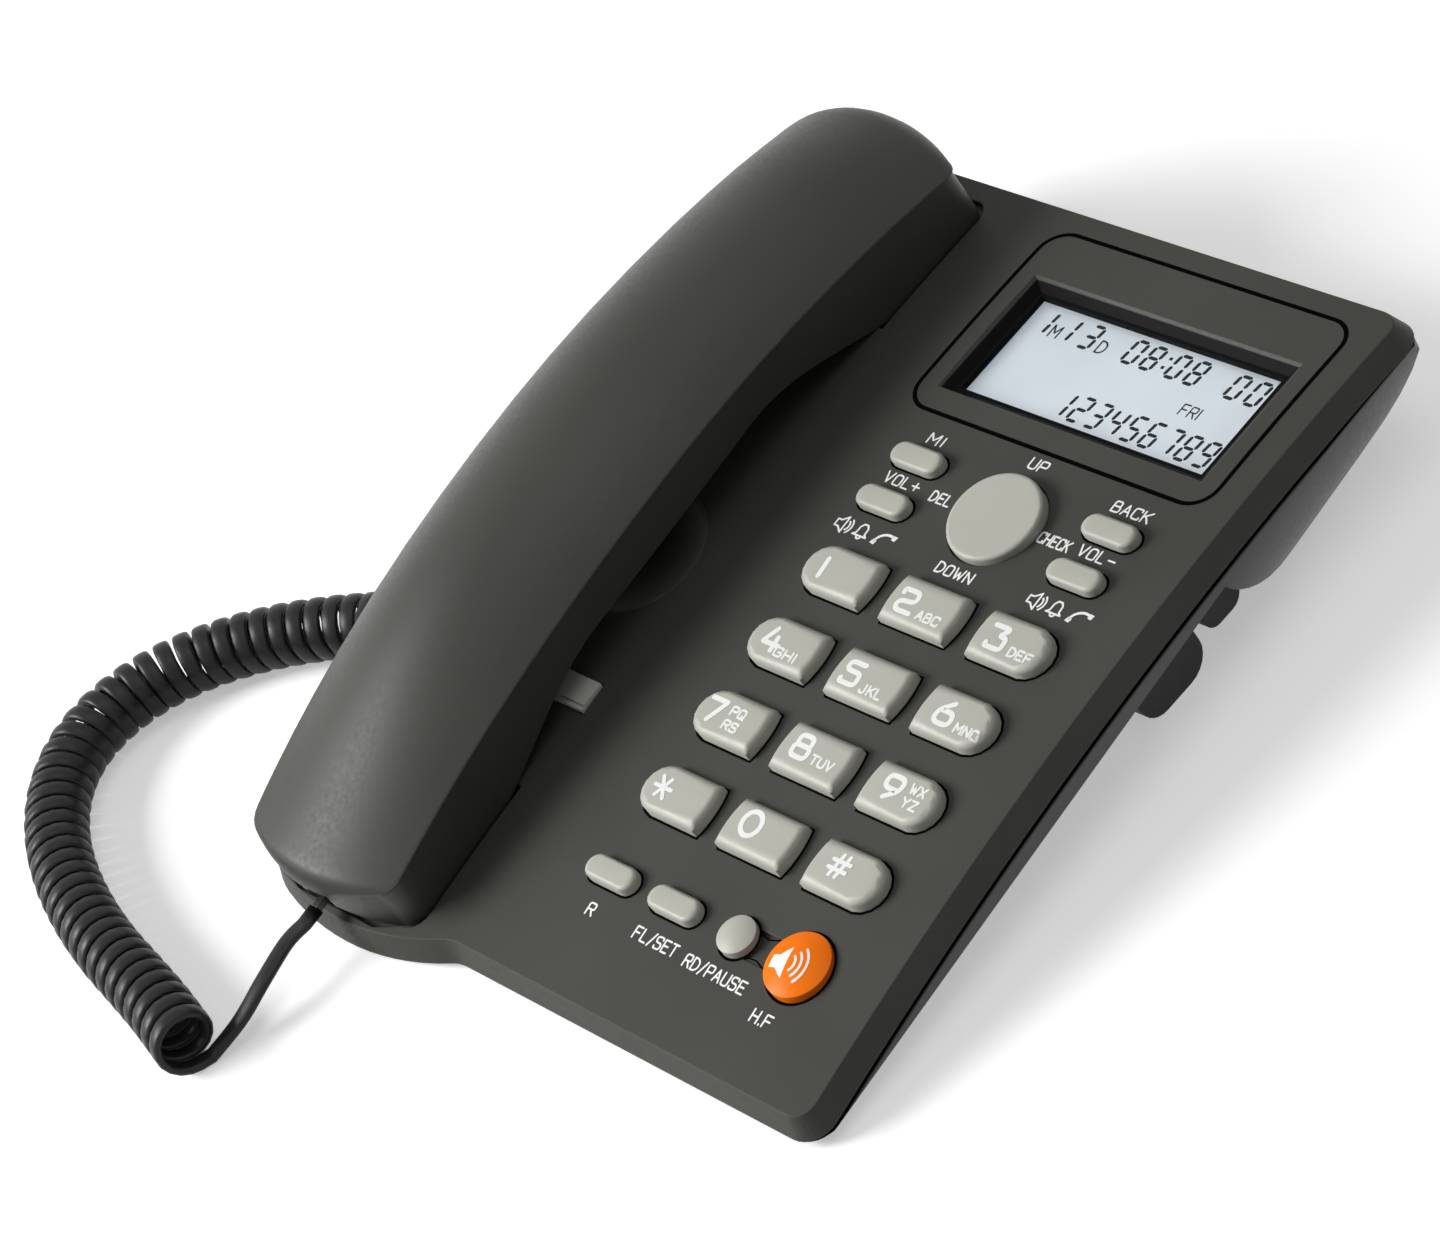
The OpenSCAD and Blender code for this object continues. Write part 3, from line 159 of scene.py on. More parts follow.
def blend_colour(tree, factor, a, b):
    """Colour between two, by a factor."""
    made = node(tree, "ShaderNodeMix", data_type="RGBA")
    made.inputs["A"].default_value = (*a, 1)
    made.inputs["B"].default_value = (*b, 1)
    tree.links.new(factor, made.inputs["Factor"])
    return made.outputs["Result"]


# Scale of uneven colour, spread of gloss, strength of grain, slant at which the painted edge highlight
# starts, and how bright it is
BROAD_SCALE = 22
GLOSS_SPREAD = 0.05
GRAIN_STRENGTH = 0.35
HIGHLIGHT_SLANT = (0.98, 0.93)
HIGHLIGHT_GAIN, HIGHLIGHT_ADDED = 2.2, 0.02


def painted_edge_highlight(tree, tint, rounding, colour, amount):
    """Painted highlight: tint that is paler where a rounded edge leans away from its face."""
    face = node(tree, "ShaderNodeNewGeometry")
    slant = node(tree, "ShaderNodeVectorMath", operation="DOT_PRODUCT")
    tree.links.new(rounding, slant.inputs[0])
    tree.links.new(face.outputs["True Normal"], slant.inputs[1])
    highlight = node(tree, "ShaderNodeMix", data_type="RGBA")
    highlight.inputs["B"].default_value = (*(min(1, c * HIGHLIGHT_GAIN + HIGHLIGHT_ADDED) for c in colour), 1)
    tree.links.new(ramp(tree, slant.outputs["Value"], *HIGHLIGHT_SLANT, high=amount), highlight.inputs["Factor"])
    tree.links.new(tint, highlight.inputs["A"])
    return highlight.outputs["Result"]


def moulded(name, colour, rough=0.5, grain=2600, depth=0.00002, vary=0.1, edge_highlight=0.0, round_edge=0.00025,
            **sockets):
    """Moulded material: spark grain, slightly uneven colour and gloss, rounded edges with a painted
    highlight on them.
    """
    made = bpy.data.materials.new(name)
    made.use_nodes = True
    tree = made.node_tree
    shader = tree.nodes["Principled BSDF"]
    for socket, value in sockets.items():
        shader.inputs[socket.replace("_", " ")].default_value = value
    coord = node(tree, "ShaderNodeTexCoord").outputs["Object"]
    dark = tuple(c * (1 - vary) for c in colour)
    pale = tuple(min(1, c * (1 + vary)) for c in colour)
    uneven = ramp(tree, noise(tree, coord, BROAD_SCALE, 3), *NOISE_SPAN)
    tint = blend_colour(tree, uneven, dark, pale)
    rounding = node(tree, "ShaderNodeBevel", samples=4)
    rounding.inputs["Radius"].default_value = round_edge
    if edge_highlight:
        tint = painted_edge_highlight(tree, tint, rounding.outputs["Normal"], colour, edge_highlight)
    tree.links.new(tint, shader.inputs["Base Color"])
    patchy = noise(tree, coord, grain / 3, 2)
    gloss = ramp(tree, patchy, *NOISE_SPAN, rough - GLOSS_SPREAD, rough + GLOSS_SPREAD)
    tree.links.new(gloss, shader.inputs["Roughness"])
    bump = node(tree, "ShaderNodeBump")
    bump.inputs["Strength"].default_value = GRAIN_STRENGTH
    bump.inputs["Distance"].default_value = depth
    tree.links.new(noise(tree, coord, grain, 3), bump.inputs["Height"])
    tree.links.new(rounding.outputs["Normal"], bump.inputs["Normal"])
    tree.links.new(bump.outputs["Normal"], shader.inputs["Normal"])
    return made


# The edge values below set how strong the painted highlight on each finish's edges is.
body_plastic = moulded("body_plastic", (0.056, 0.056, 0.050), rough=0.5, edge_highlight=0.45, round_edge=0.0006,
                       Specular_IOR_Level=0.12)
handset_plastic = moulded("handset_plastic", (0.043, 0.043, 0.038), rough=0.44, edge_highlight=0.8, round_edge=0.0006,
                          Specular_IOR_Level=0.25)
bezel_plastic = moulded("bezel_plastic", (0.055, 0.055, 0.049), rough=0.46, edge_highlight=0.4, round_edge=0.0004,
                        Specular_IOR_Level=0.15)
pan_plastic = moulded("pan_plastic", (0.05, 0.05, 0.049), rough=0.36, edge_highlight=0.2, Specular_IOR_Level=0.6)
foot_plastic = moulded("foot_plastic", (0.012, 0.012, 0.012), rough=0.5, Specular_IOR_Level=0.35)
pad_rubber = moulded("pad_rubber", (0.015, 0.015, 0.015), rough=0.8, grain=1500, depth=0.00006)
key_plastic = moulded("key_plastic", (0.46, 0.46, 0.405), rough=0.45, vary=0.03, depth=0.00001,
                      Specular_IOR_Level=0.35)
orange_plastic = moulded("orange_plastic", (1.0, 0.19, 0.003), rough=0.34, vary=0.03, edge_highlight=0.1,
                         depth=0.000008, Specular_IOR_Level=0.12)
hook_plastic = moulded("hook_plastic", (0.6, 0.6, 0.55), rough=0.45, vary=0.05, edge_highlight=0.2)
cord_vinyl = moulded("cord_vinyl", (0.008, 0.008, 0.008), rough=0.40, grain=1800, vary=0.2, depth=0.00003,
                     Specular_IOR_Level=0.25)
plug_nylon = moulded("plug_nylon", (0.02, 0.02, 0.021), rough=0.3, vary=0.1)
ivory_plastic = moulded("ivory_plastic", (0.5, 0.47, 0.4), rough=0.45, vary=0.06)
socket_plastic = moulded("socket_plastic", (0.025, 0.025, 0.026), rough=0.4)
steel = moulded("zinc_steel", (0.55, 0.55, 0.56), rough=0.32, grain=900, vary=0.08, Metallic=1.0)
cast_iron = moulded("weight_steel", (0.3, 0.3, 0.31), rough=0.5, grain=700, depth=0.00006, Metallic=1.0)
board_laminate = moulded("board_laminate", (0.02, 0.11, 0.04), rough=0.35, grain=1200, vary=0.25)
mat_silicone = moulded("mat_silicone", (0.32, 0.34, 0.36), rough=0.6, grain=1600, vary=0.06)
cone_paper = moulded("cone_paper", (0.03, 0.03, 0.032), rough=0.75, grain=900, depth=0.00008, vary=0.2)
ink_white = moulded("ink_white", (0.88, 0.88, 0.86), rough=0.55, vary=0.03, depth=0.000004)
ink_dark = moulded("ink_dark", (0.006, 0.007, 0.008), rough=0.6, vary=0.1, depth=0.000004,
                   Specular_IOR_Level=0.0)
# Black for grooves, also used for painted shade round the keys and the display frame.
dark_groove_and_shade = moulded("dark_groove_and_shade", (0.003, 0.003, 0.003), rough=0.8, vary=0.1, Specular_IOR_Level=0.0)
# The screen's faint blue-white glow is painted light; no lamp lies behind it.
lcd_glass_painted_glow = moulded("lcd_glass_painted_glow", (0.70, 0.73, 0.75), rough=0.35, grain=1200, vary=0.05, depth=0.000002,
                    Emission_Color=(0.80, 0.88, 0.96, 1), Emission_Strength=0.16)
clear_window = moulded("clear_window", (0.97, 0.98, 0.98), rough=0.06, grain=500, vary=0.01, depth=0.000001,
                       Transmission_Weight=1.0, IOR=1.3)


def finish_where(material, mask, **finish):
    """Give a material another finish where a mask is one."""
    tree = material.node_tree
    shader = tree.nodes["Principled BSDF"]
    for name, value in finish.items():
        socket = shader.inputs[name.replace("_", " ")]
        mix = node(tree, "ShaderNodeMix", data_type="RGBA" if socket.type == "RGBA" else "FLOAT")
        mix.inputs["A"].default_value = socket.default_value
        mix.inputs["B"].default_value = value
        tree.links.new(mask, mix.inputs["Factor"])
        if socket.links:
            tree.links.new(socket.links[0].from_socket, mix.inputs["A"])
        tree.links.new(mix.outputs["Result"], socket)


def along(tree, place, way):
    """Measure of a place along a direction."""
    made = node(tree, "ShaderNodeVectorMath", operation="DOT_PRODUCT")
    made.inputs[1].default_value = way
    tree.links.new(place, made.inputs[0])
    return made.outputs["Value"]


# Arch of the top, and middle and lean of the display frame on it
CROWN_R = 755.0
BEZEL_X, BEZEL_Y = -1.6, 87.7
BEZEL_LEAN = math.asin(BEZEL_Y / CROWN_R)
RECESS_DEPTH = 0.6 * MM
RECESS_BLACK = (0.003, 0.003, 0.003, 1)

# Dark joint under the cover's edge, widened into a band of painted shade from the overhang: its drop below
# the arched top, and its width
SEAM_DROP, SEAM_SHADE_W = 5.6 * MM, 2.2 * MM
SEAM_SHADE_BLACK = (0.002, 0.002, 0.002, 1)


def crown(y):
    """Height of the arched top over the panel plane, in millimetres."""
    return math.sqrt(CROWN_R ** 2 - y ** 2) - CROWN_R


def dark_recess(material):
    """Darken a material below the face of the display frame, inside its recess."""
    tree = material.node_tree
    up = UP * math.cos(BEZEL_LEAN) + BACK * math.sin(BEZEL_LEAN)
    level = panel(BEZEL_X, BEZEL_Y, crown(BEZEL_Y)).dot(up)
    height = along(tree, node(tree, "ShaderNodeTexCoord").outputs["Object"], up)
    mask = ramp(tree, height, level - RECESS_DEPTH, level - RECESS_DEPTH * 1.4)
    finish_where(material, mask, Base_Color=RECESS_BLACK, Roughness=0.5, Specular_IOR_Level=0.04)


def seam_and_painted_shade(material):
    """Darken a material in a band just below the arched edge that lies on it: a real joint, widened as
    painted shade under that edge.
    """
    tree = material.node_tree
    place = node(tree, "ShaderNodeVectorMath", operation="SUBTRACT")
    place.inputs[1].default_value = ORIGIN
    tree.links.new(node(tree, "ShaderNodeTexCoord").outputs["Object"], place.inputs[0])
    back = along(tree, place.outputs["Vector"], BACK)
    square = node(tree, "ShaderNodeMath", operation="MULTIPLY")
    for socket in square.inputs[:2]:
        tree.links.new(back, socket)
    arch = node(tree, "ShaderNodeMath", operation="MULTIPLY_ADD")
    arch.inputs[1].default_value = 0.5 / (CROWN_R * MM)
    tree.links.new(square.outputs["Value"], arch.inputs[0])
    tree.links.new(along(tree, place.outputs["Vector"], UP), arch.inputs[2])
    mask = ramp(tree, arch.outputs["Value"], -SEAM_DROP - SEAM_SHADE_W, -SEAM_DROP - SEAM_SHADE_W * 0.6)
    finish_where(material, mask, Base_Color=SEAM_SHADE_BLACK, Specular_IOR_Level=0.0)


# Painted shade under the cover's edge, laid on the pan.
seam_and_painted_shade(pan_plastic)
dark_recess(bezel_plastic)

NODE_FINISH = {
    body_plastic: ["base_cover"],
    handset_plastic: ["handset_top", "handset_body"],
    bezel_plastic: ["display_bezel"],
    pan_plastic: ["base_pan"],
    foot_plastic: ["side_feet"],
    pad_rubber: ["rubber_pads"],
    steel: ["base_screws"],
    clear_window: ["display_window"],
    lcd_glass_painted_glow: ["lcd_panel"],
    board_laminate: ["main_board"],
    mat_silicone: ["keypad_mat"],
    orange_plastic: ["key_speaker"],
    hook_plastic: ["hook_plunger"],
    ivory_plastic: ["hook_switch", "nav_pivot"],
    cone_paper: ["loudspeaker", "ear_capsule"],
    socket_plastic: ["line_jack", "base_cord_jack", "handset_jack", "microphone"],
    cast_iron: ["handset_weight"],
    plug_nylon: ["handset_plug", "base_plug"],
    key_plastic: [n for n in nodes if n.startswith("key_") and n != "key_speaker"] + ["nav_key"],
}
for finish, names in NODE_FINISH.items():
    for n in names:
        nodes[n].data.materials.clear()
        nodes[n].data.materials.append(finish)


# Curly cord: the route of its solids, in millimetres, with a fuller ribbon
CORD_W, CORD_T = 3.9, 1.9
CORD_SIDES, CORD_SQUARE = 12, 0.7
CURL_R, CURLS, STEPS = 6.3, 40.5, 18
COIL_Z = 7.4
STUB, PLUG_RUN = 3, 4
AXIS_STEPS, END_STEPS, LOOK_AHEAD = 20, 6, 2
LEAD = [(-55, -116, 9.4), (-53.6, -125, 8.2), (-53.8, -134, 5)]
COIL = [(-58, -145), (-71.7, -141.2), (-83.9, -138.4), (-96.2, -135.6), (-109.1, -131.7), (-122.2, -126.3),
        (-134.3, -119.1), (-144, -110), (-149.9, -99.3), (-151.2, -87.5), (-147.8, -75.4), (-140.2, -64),
        (-129.5, -53.9), (-117.6, -45.8), (-107, -40)]
TAIL = [(-103.4, -44.2, 13.3), (-98, -44.6, 11.6)]


def spline(points, steps):
    """Smooth run through points, with steps between each two."""
    p = [Vector(q) for q in points]
    run = []
    for i in range(len(p) - 1):
        a, b, c, d = p[max(i - 1, 0)], p[i], p[i + 1], p[min(i + 2, len(p) - 1)]
        for k in range(steps):
            t = k / steps
            run.append(0.5 * (2 * b + (c - a) * t + (2 * a - 5 * b + 4 * c - d) * t * t
                              + (3 * b - a - 3 * c + d) * t ** 3))
    return run + [p[-1]]


axis = spline([(x, y, COIL_Z) for x, y in COIL], AXIS_STEPS)
reach = [0.0]
for a, b in zip(axis, axis[1:]):
    reach.append(reach[-1] + (b - a).length)
axis_points = np.array([tuple(q) for q in axis])


def axis_at(s):
    """Place on the coil's axis at a distance along it."""
    return Vector([float(np.interp(s, reach, axis_points[:, k])) for k in range(3)])


curl_n = int(CURLS * STEPS)
pitch = reach[-1] / CURLS
curl, curl_way, curl_side = [], [], []
for i in range(curl_n + 1):
    s = reach[-1] * i / curl_n
    ahead, behind = min(s + LOOK_AHEAD, reach[-1]), max(s - LOOK_AHEAD, 0)
    way = (axis_at(ahead) - axis_at(behind)).normalized()
    f = math.pi / 2 + i * 2 * math.pi / STEPS
    out = Vector((way.y * math.cos(f), -way.x * math.cos(f), -math.sin(f)))
    curl.append(axis_at(s) + CURL_R * out)
    curl_side.append(-out)
    curl_way.append((Vector((-way.y * math.sin(f), way.x * math.sin(f), -math.cos(f)))
                     + way * pitch / (2 * math.pi * CURL_R)).normalized())
first = curl[0] - curl_way[0] * STUB
last = curl[-1] + curl_way[-1] * STUB
lead_end = panel(-90, -92.5, -1) / MM
tail_end = panel(-124.5, -30, -11) / MM
lead_points = [lead_end - BACK * PLUG_RUN] + [Vector(q) for q in LEAD] + [first]
tail_points = [last] + [Vector(q) for q in TAIL] + [tail_end - RIGHT * PLUG_RUN]
lead = [lead_end] + spline(lead_points, END_STEPS)
tail = spline(tail_points, END_STEPS) + [tail_end]


def turned(run, start, end):
    """Directions that turn evenly from start to end over a run."""
    return [start.lerp(end, i / (len(run) - 1)) for i in range(len(run))]


cord_path = lead[:-1] + [first] + curl + [last] + tail[1:]
cord_flat = (turned(lead, UP, curl_side[0])[:-1] + [curl_side[0]] + curl_side + [curl_side[-1]]
             + turned(tail, curl_side[-1], UP)[1:])
cord_section = []
for k in range(CORD_SIDES):
    u, v = math.cos(2 * math.pi * k / CORD_SIDES), math.sin(2 * math.pi * k / CORD_SIDES)
    u, v = [math.copysign(abs(w) ** CORD_SQUARE, w) for w in (u, v)]
    cord_section.append((u * CORD_W / 2, v * CORD_T / 2))
cord_verts = []
for i, (place, flat) in enumerate(zip(cord_path, cord_flat)):
    way = (cord_path[min(i + 1, len(cord_path) - 1)] - cord_path[max(i - 1, 0)]).normalized()
    face = (flat - way * flat.dot(way)).normalized()
    side = way.cross(face)
    cord_verts += [(place + side * u + face * v) * MM for u, v in cord_section]
cord = mesh_piece("curly_cord", cord_verts, tube_faces(len(cord_path), CORD_SIDES), cord_vinyl)
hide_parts("cord_lead", "cord_curls", "cord_tail")
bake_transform(cord)


# Smooth curved solids, with their hard edges kept
WELD_GAP = 0.000002
HARD_EDGE, FACETED_EDGE = math.radians(33), math.radians(52)
for solid in nodes.values():
    solid.data.polygons.foreach_set("use_smooth", [True] * len(solid.data.polygons))
    weld = solid.modifiers.new("weld", "WELD")
    weld.merge_threshold = WELD_GAP
    split = solid.modifiers.new("hard_edges", "EDGE_SPLIT")
    faceted = solid.data.materials[0] in (key_plastic, body_plastic)
    split.split_angle = FACETED_EDGE if faceted else HARD_EDGE
    solid.modifiers.new("even_normals", "WEIGHTED_NORMAL")


# Lettering: strokes on a grid four wide and six high, with a space after each sign
GRID_W, GRID_H, SPACE = 4, 6, 1.6
STROKES = {
    "0": [[(2 + 2 * math.sin(k * math.pi / 8), 3 - 3 * math.cos(k * math.pi / 8)) for k in range(17)]],
    "1": [[(2, 0.4), (2, 5.6)]],
    "2": [[(0, 4.9), (0, 6), (4, 6), (4, 3.2), (0, 2.6), (0, 0), (4, 0)]],
    "3": [[(0, 6), (4, 6), (2, 3.5), (4, 3.5), (4, 0), (0, 0), (0, 0.9)]],
    "4": [[(3, 0), (3, 3.8)], [(1.8, 6), (0, 1.7), (4.2, 1.7)]],
    "5": [[(4, 6), (0.3, 6), (0.2, 3.5), (4, 3.5), (4, 0), (0, 0), (0, 0.9)]],
    "6": [[(2.9, 6), (0, 3.2), (0, 0), (4, 0), (4, 3.5), (0.6, 3.5)]],
    "7": [[(0, 6), (4, 6), (1.5, 0)]],
    "8": [[(2, 3.2), (0.3, 3.2), (0.3, 6), (3.7, 6), (3.7, 3.2), (2, 3.2)],
          [(2, 3.2), (0, 3.2), (0, 0), (4, 0), (4, 3.2), (2, 3.2)]],
    "9": [[(1.1, 0), (4, 2.8), (4, 6), (0, 6), (0, 2.5), (3.4, 2.5)]],
    "*": [[(-0.2, 3), (4.2, 3)], [(1.05, 0.44), (2.95, 5.56)], [(0.63, 5.75), (3.37, 0.25)]],
    "#": [[(0.9, 0.4), (1.7, 5.6)], [(2.3, 0.4), (3.1, 5.6)], [(0, 2), (3.8, 2)], [(0.2, 4), (4, 4)]],
    "A": [[(0, 0), (2, 6), (4, 0)], [(0.8, 2), (3.2, 2)]],
    "B": [[(0, 0), (0, 6), (3.5, 6), (3.5, 3.2), (0, 3.2)], [(2, 3.2), (4, 3.2), (4, 0), (0, 0)]],
    "C": [[(4, 4.8), (4, 6), (0, 6), (0, 0), (4, 0), (4, 1.2)]],
    "D": [[(0, 0), (0, 6)], [(0, 6), (2.2, 6), (4, 4.4), (4, 1.6), (2.2, 0), (0, 0)]],
    "E": [[(3.8, 6), (0, 6), (0, 0), (3.8, 0)], [(0, 3.1), (3.2, 3.1)]],
    "F": [[(3.8, 6), (0, 6), (0, 0)], [(0, 3.1), (3.2, 3.1)]],
    "G": [[(4, 4.8), (4, 6), (0, 6), (0, 0), (4, 0), (4, 2.8), (2.2, 2.8)]],
    "H": [[(0, 0), (0, 6)], [(4, 0), (4, 6)], [(0, 3), (4, 3)]],
    "I": [[(2, 0), (2, 6)]],
    "J": [[(3.2, 6), (3.2, 0), (0.2, 0), (0.2, 1.5)]],
    "K": [[(0, 0), (0, 6)], [(4, 6), (0, 2.6)], [(1.3, 3.6), (4, 0)]],
    "L": [[(0, 6), (0, 0), (3.6, 0)]],
    "M": [[(0, 0), (0, 6), (2, 2), (4, 6), (4, 0)]],
    "N": [[(0, 0), (0, 6), (4, 0), (4, 6)]],
    "O": [[(2, 0), (4, 0), (4, 6), (0, 6), (0, 0), (2, 0)]],
    "P": [[(0, 0), (0, 6), (4, 6), (4, 2.7), (0, 2.7)]],
    "Q": [[(2, 0), (4, 0), (4, 6), (0, 6), (0, 0), (2, 0)], [(2.4, 1.8), (4.2, -0.4)]],
    "R": [[(0, 0), (0, 6), (4, 6), (4, 2.9), (0, 2.9)], [(2.2, 2.9), (4, 0)]],
    "S": [[(4, 4.9), (4, 6), (0, 6), (0, 3.1), (4, 3.1), (4, 0), (0, 0), (0, 1.1)]],
    "T": [[(0, 6), (4, 6)], [(2, 6), (2, 0)]],
    "U": [[(0, 6), (0, 0), (4, 0), (4, 6)]],
    "V": [[(0, 6), (2, 0), (4, 6)]],
    "W": [[(0, 6), (1, 0), (2, 4.2), (3, 0), (4, 6)]],
    "X": [[(0, 0), (4, 6)], [(0, 6), (4, 0)]],
    "Y": [[(0, 6), (2, 3), (4, 6)], [(2, 3), (2, 0)]],
    "Z": [[(0, 6), (4, 6), (0, 0), (4, 0)]],
    "+": [[(0, 3), (4, 3)], [(2, 1), (2, 5)]],
    "-": [[(0.2, 3), (3.8, 3)]],
    "/": [[(0.6, -0.4), (3.4, 6.4)]],
    ".": [[(2, 0), (2, 0.3)]],
}
# Corner radius of round signs, and width of narrow and wide ones
ROUND = {"0": 0.3, "O": 1.9, "Q": 1.9, "8": 1.3, "C": 1.5, "G": 1.5, "S": 1.4, "D": 0.9, "U": 1.5, "J": 1.3,
         "2": 1.2, "3": 1.2, "5": 1.2, "6": 1.5, "9": 1.5, "B": 1.1, "P": 1.1, "R": 1.1}
NARROW = {"1": 0.55, "I": 0.4, ".": 0.4, "/": 0.8, "M": 1.15, "W": 1.2}


def rounded(line, radius):
    """Polyline with its corners rounded."""
    p = [Vector(q) for q in line]
    out = [p[0]]
    for a, b, c in zip(p, p[1:], p[2:]):
        cut = min(radius, (a - b).length / 2, (c - b).length / 2)
        s, e = b + (a - b).normalized() * cut, b + (c - b).normalized() * cut
        out += [s.lerp(b, t).lerp(b.lerp(e, t), t) for t in (0, 0.25, 0.5, 0.75, 1)]
    return out + [p[-1]]


# Lift between layers of print, longest step of a stroke, turn that starts a new run, sides of round ends
LAYER = 0.004
LONGEST_STEP = 0.7
SHARP_TURN = 0.7
END_SIDES = 12


def ribbon(line, width, level=0.0):
    """Flat stroke along a line, round at its ends and corners, as points and faces in thin layers."""
    p = [Vector(line[0])]
    for q in line[1:]:
        gap = (Vector(q) - p[-1]).length
        if gap > 1e-5:
            parts = math.ceil(gap / LONGEST_STEP)
            p += [p[-1].lerp(Vector(q), k / parts) for k in range(1, parts + 1)]
    runs = [[p[0]]]
    for a, b, c in zip(p, p[1:], p[2:]):
        runs[-1].append(b)
        if (b - a).angle(c - b) > SHARP_TURN:
            runs.append([b])
    runs[-1].append(p[-1])
    points, faces = [], []
    for run in runs:
        for i, q in enumerate(run):
            way = (run[min(i + 1, len(run) - 1)] - run[max(i - 1, 0)]).normalized() * width / 2
            if i:
                n = len(points)
                faces.append((n - 2, n - 1, n + 1, n))
            points += [(q.x - way.y, q.y + way.x, level), (q.x + way.y, q.y - way.x, level)]
        level += LAYER
        for q in (run[0], run[-1]):
            faces.append(tuple(range(len(points), len(points) + END_SIDES)))
            for k in range(END_SIDES):
                f = k * math.pi / (END_SIDES / 2)
                points.append((q.x + width / 2 * math.cos(f), q.y + width / 2 * math.sin(f), level))
            level += LAYER
    return [Vector(q) for q in points], faces


def joined(parts):
    """Points and faces of several parts as one."""
    points, faces = [], []
    for p, f in parts:
        faces += [tuple(i + len(points) for i in face) for face in f]
        points += p
    return points, faces


def written(text, x, y, high, wide, stroke, slant=0.0):
    """Points and faces of a line of lettering, high and wide, round its middle."""
    advance = [(GRID_W + SPACE) * NARROW.get(c, 1) for c in text]
    across = sum(advance) - SPACE
    parts = []
    pen = 0.0
    for c, step in zip(text, advance):
        stretched = c in "MW"
        squeeze = (step - SPACE) / GRID_W if stretched else 1
        shift = 0 if stretched else (step - GRID_W - SPACE) / 2
        level = 0.0
        for line in STROKES[c]:
            local = []
            for q in rounded(line, ROUND.get(c, 0.25)):
                u = (pen + shift + q.x * squeeze - across / 2) * wide / across
                v = (q.y - GRID_H / 2) * high / GRID_H
                local.append(Vector((x + u + slant * v, y + v)))
            parts.append(ribbon(local, stroke, level))
            level = parts[-1][0][-1].z + LAYER
        pen += step
    return joined(parts)


# Height from which print is dropped on a solid, in millimetres
DROP_FROM = 40
trees = {}


def surface(name):
    """Search tree of a solid at rest, to lay print on it."""
    if name not in trees:
        mesh = nodes[name].data
        trees[name] = BVHTree.FromPolygons([v.co.copy() for v in mesh.vertices],
                                           [tuple(p.vertices) for p in mesh.polygons])
    return trees[name]


def laid(name, points, faces, on, body, material, lift=0.05):
    """Print of points and faces in panel millimetres, laid on a solid."""
    tree = surface(on)
    verts, height = [], None
    for q in points:
        hit = tree.ray_cast(panel(q.x, q.y, DROP_FROM), -UP)[0]
        if hit is not None:
            height = (hit - ORIGIN).dot(UP) / MM
        verts.append(panel(q.x, q.y, (height or 0) + lift + q.z))
    piece = mesh_piece(name, verts, faces, material, smooth=False)
    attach(piece, body)


# Words on the cover: text, middle, height and width
WORD_STROKE = 0.42
COVER_WORDS = [
    ("M1", -28.3, 55.7, 2.6, 4.4), ("VOL+", -28.4, 43.9, 2.6, 9.6), ("DEL", -16.7, 43.5, 2.5, 5.6),
    ("UP", -1.5, 58.4, 2.6, 4.6), ("DOWN", -1.1, 29.3, 2.5, 9.7), ("CHECK", 15.1, 43.6, 2.5, 8.2),
    ("BACK", 26.3, 55.9, 2.6, 9.8), ("VOL-", 26.4, 44.1, 2.6, 9.6), ("R", -28.6, -65.8, 2.6, 1.8),
    ("FL/SET", -9.2, -65.8, 2.6, 12.2), ("RD/PAUSE", 8.5, -66.3, 2.6, 17.2), ("H.F", 24.8, -70, 2.6, 5.2),
]
cover_print = [written(*word, WORD_STROKE) for word in COVER_WORDS]


def outline(points, x, y, size=1.0, turn=0.0):
    """Points of a sign, set at a place, scaled and turned."""
    c, s = math.cos(turn) * size, math.sin(turn) * size
    return [Vector((x + u * c - v * s, y + u * s + v * c)) for u, v in points]


def filled(points):
    """Flat area inside an outline."""
    return [q.to_3d() for q in points], [tuple(range(len(points)))]


def patch(corners, n):
    """Four-cornered area as a fine grid, to follow a curved top."""
    a, b, c, d = corners
    points, faces = [], []
    for i in range(n + 1):
        for k in range(n + 1):
            points.append(a.lerp(b, i / n).lerp(d.lerp(c, i / n), k / n).to_3d())
    for i in range(n):
        for k in range(n):
            near, far = i * (n + 1) + k, (i + 1) * (n + 1) + k
            faces.append((near, far, far + 1, near + 1))
    return points, faces


def arc(r, a0, a1, n=10, cx=0.0, cy=0.0):
    """Points of an arc between two angles in degrees."""
    turns = [math.radians(a0 + (a1 - a0) * i / n) for i in range(n + 1)]
    return [(cx + r * math.cos(f), cy + r * math.sin(f)) for f in turns]


# Small signs over the keys: a sounding horn, a bell and a handset, once on each side
HORN_BACK = [(-2.1, -0.8), (-1.1, -0.8), (-1.1, 0.8), (-2.1, 0.8)]
HORN_MOUTH = [(-1.1, -0.8), (0.3, -2), (0.3, 2), (-1.1, 0.8)]
HORN = HORN_BACK[:2] + HORN_MOUTH[1:] + HORN_BACK[3:] + HORN_BACK[:1]
BELL = [(-1.9, -1.2), (-1.2, -0.6), (-1.1, 0.9), (-0.5, 1.7), (0.5, 1.7), (1.1, 0.9), (1.2, -0.6),
        (1.9, -1.2), (-1.9, -1.2)]
CLAPPER = arc(0.6, 190, 350, 6, 0, -1.3)
GRIP = [(-2.2, -1.5), (-1.9, -0.1), (-0.9, 0.9), (0.6, 1.4), (2.2, 1.1)]
GRIP_ENDS = ([(-2.9, -1.7), (-1.7, -1.9), (-1.4, -0.9), (-2.5, -0.6)],
             [(1.6, 0.5), (2.6, 0.3), (2.9, 1.5), (1.8, 1.6)])
SIGN_SIDES = (0.0, 55.0)
SIGN_STROKE, GRIP_STROKE, GRIP_ROUND = 0.44, 0.62, 0.9
